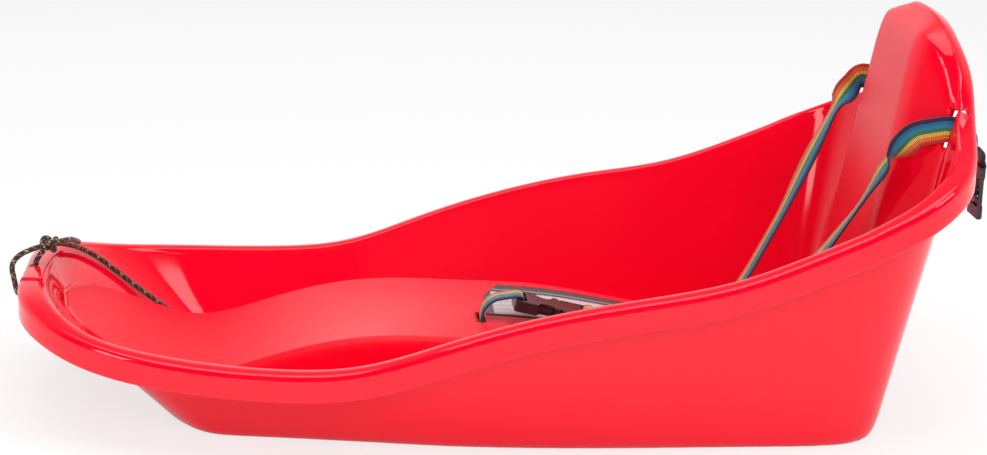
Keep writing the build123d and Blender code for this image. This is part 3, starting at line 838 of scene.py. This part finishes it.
def build_shell(settings):
    points, satin = shell_skin(settings)
    piece = surface("sled_shell_skin", points, wrap=(True, False))
    attribute(piece, "satin", satin)
    work = bmesh.new()
    work.from_mesh(piece.data)
    bmesh.ops.remove_doubles(work, verts=work.verts, dist=0.00002)
    work.normal_update()
    if sum(f.normal.z * f.calc_area() for f in work.faces) < 0:
        bmesh.ops.reverse_faces(work, faces=work.faces)
    work.to_mesh(piece.data)
    work.free()
    modifier(piece, "SOLIDIFY", thickness=WALL, offset=-1.0, use_even_offset=False,
             use_quality_normals=True)
    applied(piece)
    slot = WEB_THICK + WEB_PLAY
    cuts = [(SLOT_AT * (1, way, 1) + (WALL, 0, 0), (SLOT_DEPTH, slot, WEB_WIDTH + SLOT_ROOM), 0)
            for way in (1, -1)]
    cuts.append((over_seat(CROTCH_X, 0, 0)[0], (slot, WEB_WIDTH + CROTCH_ROOM, THROUGH), 0))
    cuts.append((HOLE_AT, (ROPE + ROPE_ROOM, ROPE + ROPE_ROOM, THROUGH), 24))
    cut(piece, cuts)
    piece.data.polygons.foreach_set("use_smooth", np.ones(len(piece.data.polygons), bool))
    return fit(piece, "sled_shell", "shell_plastic", red_plastic(settings))


# ---------------------------------------------------------------- paths

def along_path(points, across, spacing):
    """Points evenly spaced on a path and unit directions across it. Corners of the path are
    worn off by cutting a quarter from each side of every corner, three times over."""
    rows = np.hstack([points, across])
    middle = (rows[1:] + rows[:-1]) / 2
    dense = np.empty((len(rows) * 2 - 1, rows.shape[1]))
    dense[::2], dense[1::2] = rows, middle
    for _ in range(3):
        near, beyond = dense[:-1], dense[1:]
        worn = np.empty((2 * len(near), dense.shape[1]))
        worn[::2], worn[1::2] = 0.75 * near + 0.25 * beyond, 0.25 * near + 0.75 * beyond
        dense = np.vstack([dense[:1], worn, dense[-1:]])
    run = lengths(dense[:, :3])
    goal = np.linspace(0, run[-1], max(8, int(run[-1] / spacing)))
    read = read_along(dense, run, goal)
    place, across = read[:, :3], read[:, 3:]
    ahead = unit(np.gradient(place, axis=0))
    across = unit(across - ahead * (across * ahead).sum(1)[:, None])
    return place, ahead, across, goal


def ribbon(name, points, across, settings, material, slot, node_name, thick=WEB_THICK):
    """Webbing carried along a path: a flat profile with round edges, whose faces rise and fall
    with the crosswise ribs and whose edges are scalloped by the turning weft."""
    place, ahead, across, run = along_path(points, across, settings.rib / 4)
    out = np.cross(across, ahead)
    angle = np.linspace(0, math.pi, 5)
    half, deep = settings.width / 2, thick / 2
    edge = np.stack([half - deep + deep * np.sin(angle), deep * np.cos(angle)], -1)
    flat = np.array([(k * (half - deep), 1.0) for k in (-0.66, -0.33, 0.0, 0.33, 0.66)])
    profile = np.vstack([flat * (1, deep), edge, flat[::-1] * (1, -deep), -edge])
    wave = np.cos(run / settings.rib * 2 * math.pi)[:, None]
    wide = profile[None, :, 0] * (1 + 0.006 * wave)
    tall = profile[None, :, 1] * (1 + 0.16 * wave * (np.abs(profile[None, :, 1]) > 0.9 * deep))
    grid = (place[:, None] + across[:, None] * wide[..., None] + out[:, None] * tall[..., None])
    u = (profile[:, 0] / half + 1) / 2
    u = np.concatenate([u, u[:1]])
    uv = np.stack(np.broadcast_arrays(u[None, :], run[:, None]), -1)
    piece = turned_out(surface(name, grid, uv, wrap=(False, True), caps=True))
    return fit(piece, node_name, slot, material)


def over_seat(x, y, above):
    """A place above the raised floor."""
    x, y = np.atleast_1d(x).astype(float), np.atleast_1d(y).astype(float)
    return np.stack([x, y, floor_height(x, y) + above], -1)


def buckle_axes():
    """Middle of the buckle where its halves meet, its forward axis and its upward axis."""
    low, high = over_seat(BUCKLE_X - 25 * MM, 0, 0)[0], over_seat(BUCKLE_X + 25 * MM, 0, 0)[0]
    tilt = math.atan2(high[2] - low[2], high[0] - low[0]) + BUCKLE_TILT
    lift = (LABEL_THICK + 3 * LAY + WEB_THICK + BUCKLE_THICK / 2
            + PLUG_LENGTH * math.sin(BUCKLE_TILT) + 2 * MM)
    middle = over_seat(BUCKLE_X, 0, lift)[0]
    return middle, np.array((math.cos(tilt), 0, math.sin(tilt))), np.array(
        (-math.sin(tilt), 0, math.cos(tilt)))


def in_buckle(points):
    """Places given by the buckle's own axes."""
    middle, ahead, up = buckle_axes()
    points = np.asarray(points, float)
    return (middle + points[..., :1] * ahead + points[..., 1:2] * np.array((0, 1.0, 0))
            + points[..., 2:3] * up)


def bar_turn(x, side, way):
    """Middle line of webbing that lies over a bar's face and turns in through the slot."""
    face = BUCKLE_THICK / 2 + LAY + WEB_THICK / 2
    steps = [(BAR_SLOT / 2 + BAR, face), (BAR_SLOT / 2 + MM, face + 0.5 * MM),
             (0.9 * MM, face - 0.1 * MM), (0.2 * MM, face - 3 * MM), (0.2 * MM, WEB_THICK)]
    return [tuple(in_buckle((x + way * a, 0.0, side * b))) for a, b in steps]


def shoulder_route(side):
    """From its slider behind the back, in through the slot, down the back and to the buckle."""
    outer = SLIDER_AT[0] - SLIDER_THICK / 2 - LAY - WEB_THICK / 2
    inner = SLIDER_AT[0] + SLIDER_THICK / 2 + LAY + WEB_THICK / 2
    y, mid = SLIDER_AT[1], SLIDER_AT[2]
    top = mid + SLIDER_HEIGHT / 2
    far_edge = BAR / 2 + SLIDER_SLOT - 0.6 * MM
    sx, sy, sz = SLOT_AT
    route = [
        ((outer, y, mid - SLIDER_HEIGHT / 2), (0, 1, 0)),
        ((outer, y, mid - far_edge), (0, 1, 0)),
        ((inner, y, mid - BAR / 2 - 0.6 * MM), (0, 1, 0)),
        ((inner, y, mid + BAR / 2 + 0.6 * MM), (0, 1, 0)),
        ((outer, y, mid + far_edge), (0, 1, 0)),
        ((outer, y, top + MM), (0, 1, 0)),
        ((sx - 19 * MM, sy - 8 * MM, sz - 19 * MM), (0, 1, 0.1)),
        ((sx - 9.5 * MM, sy - 4 * MM, sz - 14 * MM), (-0.1, 1, 0.45)),
        ((sx - 5.5 * MM, sy - MM, sz - 6.5 * MM), (-0.1, 0.6, 0.8)),
        ((sx - 1.5 * MM, sy, sz - MM), (0, 0.1, 1)),
        ((sx + 10 * MM, sy, sz), (0, 0, 1)),
    ]
    air = {
        1: [((-308, 84, 229), (-0.4, 0.1, 1)), ((-290, 75, 204), (-0.5, 0.5, 0.8)),
            ((-274, 65, 167), (0.3, 1, 0)), ((-250, 54, 126), (0, 1, 0)),
            ((-215, 40, 82), (0, 1, 0))],
        -1: [((-305, 83, 241), (-0.4, 0.1, 1)), ((-286, 75, 215), (-0.5, 0.5, 0.8)),
             ((-263, 67, 170), (0.3, 1, 0)), ((-243, 57, 130), (0, 1, 0)),
             ((-213, 40, 82), (0, 1, 0))],
    }
    route += [(tuple(MM * np.array(at)), across) for at, across in air[side]]
    above = 2 * LAY + LABEL_THICK + WEB_THICK / 2 + WEB_SAG
    if side > 0:
        above += WEB_THICK + LAY + WEB_SAG
    for x, y in MM * np.array(((-180, 26), (-150, 16), (-120, 7), (-100, 0))):
        edges = over_seat((x, x), (y - WEB_WIDTH / 2, y + WEB_WIDTH / 2), 0)
        route.append((tuple(over_seat(x, y, above)[0]), tuple(edges[1] - edges[0])))
    slot_middle = -PLUG_LENGTH + BAR + BAR_SLOT / 2
    route += [(at, (0, 1, 0)) for at in bar_turn(slot_middle, side, -1)]
    flip = np.array((1, side, 1))
    points = np.array([at for at, _ in route]) * flip
    return points, unit(np.array([across for _, across in route], float)) * flip


def crotch_route():
    """Up through the seat from its keeper, over in an arch, and round the buckle's front bar."""
    x, z = over_seat(CROTCH_X, 0, 0)[0][[0, 2]]
    arch = MM * np.array([(0, -14), (0, 3), (-1.5, 9), (-6, 14.5), (-12, 17.5)])
    route = [(x + a, 0, z + up) for a, up in arch]
    route += bar_turn(SOCKET_LENGTH - BAR - BAR_SLOT / 2, 1, 1)
    points = np.array(route)
    return points, np.tile((0, 1.0, 0), (len(points), 1))


def label_piece(material):
    """A thin sheet over the seat: straight edges, its front far corner cut away."""
    (rear, front), (far_side, near), (cut_x, cut_y) = LABEL_X, LABEL_Y, LABEL_CUT
    u, v = np.meshgrid(np.linspace(0, 1, 60), np.linspace(0, 1, 36), indexing="ij")
    y = far_side + (near - far_side) * v
    end = front - cut_x * np.maximum(0, 1 - (y - far_side) / cut_y)
    x = rear + (end - rear) * u
    curl = 0.0004 * ramp(u, 0.93, 1.0) * ramp(-v, -0.3, 0)
    z = floor_height(x.ravel(), y.ravel()).reshape(x.shape) + LAY + curl
    uv = np.stack([u * (end - rear) / (front - rear), v], -1)
    piece = surface("seat_label_sheet", np.stack([x, y, z], -1), uv)
    modifier(piece, "SOLIDIFY", thickness=LABEL_THICK, offset=1.0)
    return fit(piece, "seat_label", "label_foil", material)


# ---------------------------------------------------------------- rope

def spline_path(name, points):
    """A curve of degree two whose control points are the route's, and the points on it."""
    data = bpy.data.curves.new(name, "CURVE")
    data.dimensions = "3D"
    line = data.splines.new("NURBS")
    line.points.add(len(points) - 1)
    line.points.foreach_set("co", np.hstack([points, np.ones((len(points), 1))]).ravel())
    line.order_u = 3
    line.use_endpoint_u = True
    line.resolution_u = 12
    holder = shown(name, data)
    bpy.context.view_layer.update()
    mesh = bpy.data.meshes.new_from_object(holder)
    read = np.zeros(len(mesh.vertices) * 3)
    mesh.vertices.foreach_get("co", read)
    bpy.data.meshes.remove(mesh)
    bpy.data.objects.remove(holder)
    return read.reshape(-1, 3)


def even(points, spacing, closed=False):
    """Points evenly spaced on a line, with its direction there."""
    if closed:
        points = np.vstack([points, points[:1]])
    run = lengths(points)
    goal = np.linspace(0, run[-1], int(run[-1] / spacing), endpoint=not closed)
    place = read_along(points, run, goal)
    if closed:
        ahead = unit(np.roll(place, -1, 0) - np.roll(place, 1, 0))
    else:
        ahead = unit(np.gradient(place, axis=0))
    return place, ahead, goal


def carried_frame(ahead, closed=False):
    """Two directions square to a line, carried along it with no twist. On a closed line the
    twist left at the join is spread over the whole."""
    side = np.zeros_like(ahead)
    first = np.cross(ahead[0], (0, 0, 1.0))
    side[0] = unit(first if np.linalg.norm(first) > 0.1 else np.cross(ahead[0], (0, 1.0, 0)))
    for i in range(1, len(ahead)):
        side[i] = side[i - 1] - ahead[i] * side[i - 1].dot(ahead[i])
        side[i] /= np.linalg.norm(side[i])
    other = np.cross(ahead, side)
    if closed:
        last = side[-1] - ahead[0] * side[-1].dot(ahead[0])
        twist = math.atan2(last.dot(other[0]), last.dot(side[0]))
        angle = -twist * np.linspace(0, 1, len(ahead))[:, None]
        side, other = (side * np.cos(angle) + other * np.sin(angle),
                       other * np.cos(angle) - side * np.sin(angle))
    return side, other


def braid(name, points, settings, closed=False):
    """A rope's braided cover carried along a line. Its radius is the rope's, less a groove
    between strands: eight strands wind each way, and at each crossing the one on top bulges."""
    place, ahead, run = even(points, BRAID_STEP, closed)
    side, other = carried_frame(ahead, closed)
    turn = np.linspace(0, 1, BRAID_SIDES, endpoint=False)
    angle = 2 * math.pi * turn[None, :]
    plus = STRANDS * turn[None, :] + STRANDS * run[:, None] / settings.plait
    minus = STRANDS * turn[None, :] - STRANDS * run[:, None] / settings.plait
    odd = np.mod(np.floor(plus) + np.floor(minus), 2)
    bulge = np.where(odd < 0.5, np.cos(math.pi * (plus % 1 - 0.5)), np.cos(
        math.pi * (minus % 1 - 0.5)))
    radius = settings.diameter / 2 * (GROOVE + BULGE * bulge)
    grid = place[:, None] + (side[:, None] * np.cos(angle)[..., None]
                             + other[:, None] * np.sin(angle)[..., None]) * radius[..., None]
    edge = np.linspace(0, 1, BRAID_SIDES + 1)
    along = np.append(run, run[-1] + BRAID_STEP) if closed else run
    uv = np.stack(np.broadcast_arrays(edge[None, :], along[:, None]), -1)
    return turned_out(surface(name, grid, uv, wrap=(closed, True), caps=not closed))


def from_knot(towards):
    """Where a strand leaves the nose knot on its way towards a place."""
    towards = np.asarray(towards, float)
    return KNOT_AT + unit(towards - KNOT_AT) * KNOT


def hank_turns():
    """Control points of the rope put away in oblong turns: straight sides and half circles,
    13 points a turn. The turns start outside, step inwards, then climb and step out again."""
    cx, cy = HANK_AT
    outer, inner = HANK_FOLD + ROPE, HANK_FOLD
    base = HANK_FOOT + ROPE / 2
    states = [(outer, 0), (inner, 0), (inner, 1), (outer, 1), (outer, 2), (inner, 2)]
    half = HANK_STRAIGHT / 2
    straight = 0.08          # share of a turn along each straight side; a half circle has the rest
    reach = 0.6 * half       # how far a straight side's control points lie from its middle
    swell = 1 / 0.966        # the curve runs a little inside its control points
    points = []
    for k, ((r, level), (next_r, next_level)) in enumerate(zip(states, states[1:])):
        last = k == len(states) - 2
        for phase in np.linspace(0, 1, 14)[:14 if last else 13]:
            step = 0 if last else ramp(phase, 0.62, 1.0)
            wide, high = r + (next_r - r) * step, level + (next_level - level) * step
            way, part = (-1, phase) if phase < 0.5 else (1, phase - 0.5)
            if part <= straight:
                x, y = way * reach * (2 * part / straight - 1), way * wide
            else:
                angle = (part - straight) / (0.5 - straight) * math.pi
                x = way * (half + wide * swell * math.sin(angle))
                y = way * wide * swell * math.cos(angle)
            points.append((cx + x, cy + y, base + high * ROPE))
    return np.array(points)


def main_route():
    """From the nose knot down inside the nose's right side into the leg well, to the hank."""
    route = MM * np.array([
        (343, -24, 111.5), (338, -50, 103.5), (330, -73, 94), (316, -84, 82.5), (299, -87.5, 67),
        (283, -88.5, 53.5), (270, -87, 44), (258, -85.5, 35.5), (243, -87, 26), (226, -91, 18),
        (206, -96, 11.5), (182, -99, 7.8), (150, -101, 6.2), (115, -100.5, 6),
        (93, -101.5, 6.4), (76, -107.5, 6.8), (62, -113.5, 6.8)])
    return np.vstack([from_knot(route[0]), route])


def loop_route():
    """Its free end beside the knot, through the knot, over the rim and up through the hole."""
    tail = MM * np.array([(329.5, -58, 103), (329.5, -38, 110), (331, -17, 117)])
    loop = MM * np.array([(361, 3, 113.5), (369.5, 3.5, 109), (375, 2.5, 101), (373, 0.5, 88.5),
                          (371, 0, 75.5), (357.5, 0, 75.5), (357, 0, 90), (357.5, -1, 104)])
    return np.vstack([tail, from_knot(tail[-1]), KNOT_AT, from_knot(loop[0]), loop,
                      from_knot(loop[-1])])


def knot_line(middle, radius, rope, lean=(0.0, 0.0)):
    """An overhand knot pulled tight: (sin t + 2 sin 2t, cos t - 2 cos 2t, -1.25 sin 3t), drawn to
    a radius, stretched a little along its axis and turned to lie across its rope."""
    t = np.linspace(0, 2 * math.pi, 600, endpoint=False)
    line = np.stack([np.sin(t) + 2 * np.sin(2 * t), np.cos(t) - 2 * np.cos(2 * t),
                     -1.25 * np.sin(3 * t)], -1)
    line *= (radius - rope / 2) / 3.0 * np.array((1, 1, 1.35))
    a, b = lean
    turn_x = np.array([(1, 0, 0), (0, math.cos(a), -math.sin(a)), (0, math.sin(a), math.cos(a))])
    turn_y = np.array([(math.cos(b), 0, math.sin(b)), (0, 1, 0), (-math.sin(b), 0, math.cos(b))])
    return line @ turn_x.T @ turn_y.T + middle


def build_rope(settings):
    material = braided_cover(settings)
    line = spline_path("tow_rope_line", np.vstack([main_route(), hank_turns(), END_KNOT_AT]))
    main = braid("tow_rope_main", line, settings)
    fit(main, "tow_rope", "rope_braid", material, "tow_rope_hank")
    for name, cad, at, radius, lean in (
            ("tow_rope_end_stop", "tow_rope_end_knot", END_KNOT_AT, END_KNOT, (0.5, 0.3)),
            ("tow_rope_nose_knot", "tow_rope_knot", KNOT_AT, KNOT, (1.1, 0.25))):
        knot = braid(name, knot_line(at, radius, settings.diameter, lean), settings, closed=True)
        fit(knot, cad, "rope_braid", material)
    loop_line = spline_path("tow_rope_loop_line", loop_route())
    loop = braid("tow_rope_bight", loop_line, settings)
    fit(loop, "tow_rope_loop", "rope_braid", material, "tow_rope_tail")


def build_tie(settings):
    """A band round the middle of the hank: a flat profile carried round a rounded oblong."""
    (cx, cy), r = HANK_AT, TIE_CORNER
    half_y = HANK_FOLD + 1.5 * ROPE + 0.2 * MM
    low, high = HANK_FOOT - 0.6 * MM, HANK_FOOT + 3 * ROPE + 0.6 * MM
    angle = np.linspace(0, math.pi / 2, 8)
    arc = np.stack([np.cos(angle), np.sin(angle)], -1) * r
    corner = [((half_y - r, high - r), (1, 1)), ((-half_y + r, high - r), (-1, 1)),
              ((-half_y + r, low + r), (-1, -1)), ((half_y - r, low + r), (1, -1))]
    rows = []
    for k, ((y, z), (sy, sz)) in enumerate(corner):
        turned = arc if k % 2 == 0 else arc[::-1]
        rows.append(np.stack([y + sy * turned[:, 0], z + sz * turned[:, 1]], -1))
    path = np.vstack(rows)
    path = np.vstack([path, path[:1]])
    run = lengths(path)
    goal = np.linspace(0, run[-1], 160, endpoint=False)
    path = read_along(path, run, goal)
    ahead = unit(np.roll(path, -1, 0) - np.roll(path, 1, 0))
    out = np.stack([ahead[:, 1], -ahead[:, 0]], -1)
    t = np.linspace(0, 2 * math.pi, 24, endpoint=False)
    flat = np.sign(np.cos(t)) * np.abs(np.cos(t)) ** 0.35 * TIE_WIDTH / 2
    deep = np.sign(np.sin(t)) * np.abs(np.sin(t)) ** 0.5 * TIE_THICK / 2
    y = cy + path[:, None, 0] + out[:, None, 0] * deep[None]
    z = path[:, None, 1] + out[:, None, 1] * deep[None]
    x = cx + flat[None] + 0 * y
    edge = np.linspace(0, 1, len(t) + 1)
    uv = np.stack(np.broadcast_arrays(edge[None, :], np.append(goal, run[-1])[:, None]), -1)
    piece = turned_out(surface("tow_rope_tie_band", np.stack([x, y, z], -1), uv,
                               wrap=(True, True)))
    return fit(piece, "tow_rope_tie", "tie_band", band_cloth(settings))


# ---------------------------------------------------------------- stage

FLOOR_SEEN, FLOOR_MIRRORED = 0.72, 0.2    # how much of the floor shines white to each
WORLD_SOFT = 0.55                         # how strongly the surroundings light the sled


def studio_floor(settings):
    """A pale floor that keeps the shadow, and looks white to the camera and in reflections."""
    grid = np.stack(np.meshgrid(np.linspace(-6, 6, 9), np.linspace(-6, 6, 9), indexing="ij")
                    + [np.full((9, 9), -0.0004)], -1)
    floor = surface("studio_floor", grid)
    made = bpy.data.materials.new("Studio floor")
    made.use_nodes = True
    tree = made.node_tree
    tree.nodes.clear()
    seen, reflected = ray_kinds(tree)
    share_white = sums(tree, "MAXIMUM", sums(tree, "MULTIPLY", seen, FLOOR_SEEN),
                       sums(tree, "MULTIPLY", reflected, FLOOR_MIRRORED))
    dull = node(tree, "ShaderNodeBsdfDiffuse", {"Color": full(settings.floor)})
    white = node(tree, "ShaderNodeEmission", {"Color": (1, 1, 1, 1), "Strength": 1.0})
    mix = node(tree, "ShaderNodeMixShader", {0: share_white, 1: dull.outputs[0],
                                              2: white.outputs[0]})
    node(tree, "ShaderNodeOutputMaterial", {"Surface": mix.outputs[0]})
    floor.data.materials.append(made)


def studio_world():
    """White where it is seen, soft where it lights, and in reflections white beyond the sled
    and dim on the near side and overhead."""
    world = bpy.data.worlds.new("Studio")
    bpy.context.scene.world = world
    world.use_nodes = True
    tree = world.node_tree
    tree.nodes.clear()
    by_camera, reflected = ray_kinds(tree)
    place = split(tree, node(tree, "ShaderNodeTexCoord").outputs["Generated"])
    mirror = sums(tree, "MULTIPLY", eased(tree, place[1], -0.15, 0.35, 1.0, 0.01),
                  eased(tree, place[2], 0.30, 0.75, 1.0, 0.35))
    seen, mirrored, soft = [
        node(tree, "ShaderNodeBackground", {"Color": (1, 1, 1, 1), "Strength": strength}).outputs[0]
        for strength in (1.0, mirror, WORLD_SOFT)]
    first = node(tree, "ShaderNodeMixShader", {0: reflected, 1: soft, 2: mirrored})
    last = node(tree, "ShaderNodeMixShader", {0: by_camera, 1: first.outputs[0], 2: seen})
    node(tree, "ShaderNodeOutputWorld", {"Surface": last.outputs[0]})


# Each lamp: name, place, what it points at, width and height, watts, shown in reflections.
LAMPS = (
    ("overhead", (0.0, 0.2, 2.4), (0, 0, 0), (2.4, 1.6), 29.0, True),
    ("front_side", (1.9, 1.45, 1.05), (0, 0, 0.1), (0.45, 1.2), 9.0, True),
    ("rear_side", (-1.75, 0.95, 1.75), (0, 0, 0.1), (0.85, 1.0), 11.0, True),
    ("near_fill", (-0.2, 2.6, 1.5), (0, 0, 0.1), (2.2, 1.0), 26.0, False),
)
CAMERA_AT, CAMERA_TOWARDS = (0.1428, 1.6319, 0.5863), (0, 0, 0.132)
CAMERA_LENS, CAMERA_ROLL = 78.75, math.radians(1.5)


def build_stage(settings):
    """The floor, the surroundings, four soft lamps and the camera."""
    scene = bpy.context.scene
    scene.view_settings.view_transform = "Standard"
    studio_floor(settings)
    studio_world()
    for name, at, towards, (wide, tall), watts, mirrored in LAMPS:
        data = bpy.data.lights.new(name, "AREA")
        data.shape = "RECTANGLE"
        data.size, data.size_y = wide, tall
        data.energy = watts * settings.level
        lamp = placed(data, at, towards)
        lamp.visible_glossy = mirrored
    data = bpy.data.cameras.new("studio_camera")
    data.sensor_width = 36.0
    data.lens = CAMERA_LENS
    data.clip_start, data.clip_end = 0.05, 50
    scene.camera = placed(data, CAMERA_AT, CAMERA_TOWARDS, CAMERA_ROLL)


def placed(data, at, towards, roll=0.0):
    """A lamp or camera at a place, pointed at another and turned about its line of sight."""
    holder = shown(data.name, data)
    ahead = unit(np.array(towards, float) - np.array(at, float))
    right = unit(np.cross(ahead, (0, 0, 1.0)))
    up = np.cross(right, ahead)
    c, s = math.cos(roll), math.sin(roll)
    matrix = np.eye(4)
    matrix[:3] = np.column_stack([right * c + up * s, up * c - right * s, -ahead, at])
    holder.matrix_world = Matrix(matrix.tolist())
    return holder


# ---------------------------------------------------------------- operators and panel

class PULL_SLED_OT_shell(bpy.types.Operator):
    """Build the moulded tub"""
    bl_idname = "pull_sled.shell"
    bl_label = "Moulded tub"

    def execute(self, context):
        build_shell(context.scene.pull_sled_shell)
        return {"FINISHED"}


class PULL_SLED_OT_webbing(bpy.types.Operator):
    """Build the two shoulder straps and the crotch strap"""
    bl_idname = "pull_sled.webbing"
    bl_label = "Webbing"

    def execute(self, context):
        settings = context.scene.pull_sled_webbing
        material = striped_webbing(settings)
        for name, side in (("left", 1), ("right", -1)):
            points, across = shoulder_route(side)
            if side > 0:
                across = -across
            ribbon(f"shoulder_webbing_{name}", points, across, settings, material, "webbing",
                   f"shoulder_strap_{name}")
        points, across = crotch_route()
        ribbon("crotch_webbing", points, -across, settings, material, "webbing", "crotch_strap")
        return {"FINISHED"}


class PULL_SLED_OT_hardware(bpy.types.Operator):
    """Finish the buckle, the sliders and the keeper"""
    bl_idname = "pull_sled.hardware"
    bl_label = "Buckle and sliders"

    def execute(self, context):
        material = black_plastic(context.scene.pull_sled_hardware)
        for name in ("buckle_socket", "buckle_plug", "strap_slider_left", "strap_slider_right",
                     "strap_keeper"):
            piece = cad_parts[name]
            piece.data.materials.clear()
            piece.data.materials.append(material)
        return {"FINISHED"}


class PULL_SLED_OT_label(bpy.types.Operator):
    """Build the blank label on the seat"""
    bl_idname = "pull_sled.label"
    bl_label = "Blank label"

    def execute(self, context):
        label_piece(foil_label(context.scene.pull_sled_hardware))
        return {"FINISHED"}


class PULL_SLED_OT_rope(bpy.types.Operator):
    """Build the tow rope, its knots and the band round its spare length"""
    bl_idname = "pull_sled.rope"
    bl_label = "Tow rope"

    def execute(self, context):
        build_rope(context.scene.pull_sled_rope)
        build_tie(context.scene.pull_sled_hardware)
        return {"FINISHED"}


class PULL_SLED_OT_stage(bpy.types.Operator):
    """Set the floor, the lamps and the camera"""
    bl_idname = "pull_sled.stage"
    bl_label = "Studio"

    def execute(self, context):
        build_stage(context.scene.pull_sled_stage)
        return {"FINISHED"}


OPERATORS = (PULL_SLED_OT_stage, PULL_SLED_OT_rope, PULL_SLED_OT_shell, PULL_SLED_OT_webbing,
             PULL_SLED_OT_hardware, PULL_SLED_OT_label)
SETTINGS = {"shell": ShellSettings, "webbing": WebbingSettings, "rope": RopeSettings,
            "hardware": HardwareSettings, "stage": StageSettings}


class PULL_SLED_PT_panel(bpy.types.Panel):
    """Pieces of the sled, and the sizes and colours that can be changed"""
    bl_idname = "PULL_SLED_PT_panel"
    bl_label = "Pull sled"
    bl_space_type = "VIEW_3D"
    bl_region_type = "UI"
    bl_category = "Pull sled"

    def draw(self, context):
        for operator in OPERATORS:
            self.layout.operator(operator.bl_idname)
        for name, group in SETTINGS.items():
            box = self.layout.box()
            box.label(text=name.title())
            for key in group.__annotations__:
                box.prop(getattr(context.scene, f"pull_sled_{name}"), key)


def register():
    for made in (*SETTINGS.values(), *OPERATORS, PULL_SLED_PT_panel):
        bpy.utils.register_class(made)
    for name, group in SETTINGS.items():
        setattr(bpy.types.Scene, f"pull_sled_{name}", bpy.props.PointerProperty(type=group))


def unregister():
    for name in SETTINGS:
        delattr(bpy.types.Scene, f"pull_sled_{name}")
    for made in reversed((*SETTINGS.values(), *OPERATORS, PULL_SLED_PT_panel)):
        bpy.utils.unregister_class(made)


def main():
    register()
    for operator in OPERATORS:
        group, name = operator.bl_idname.split(".")
        getattr(getattr(bpy.ops, group), name)()
    bpy.context.view_layer.update()


if __name__ == "__main__":
    main()
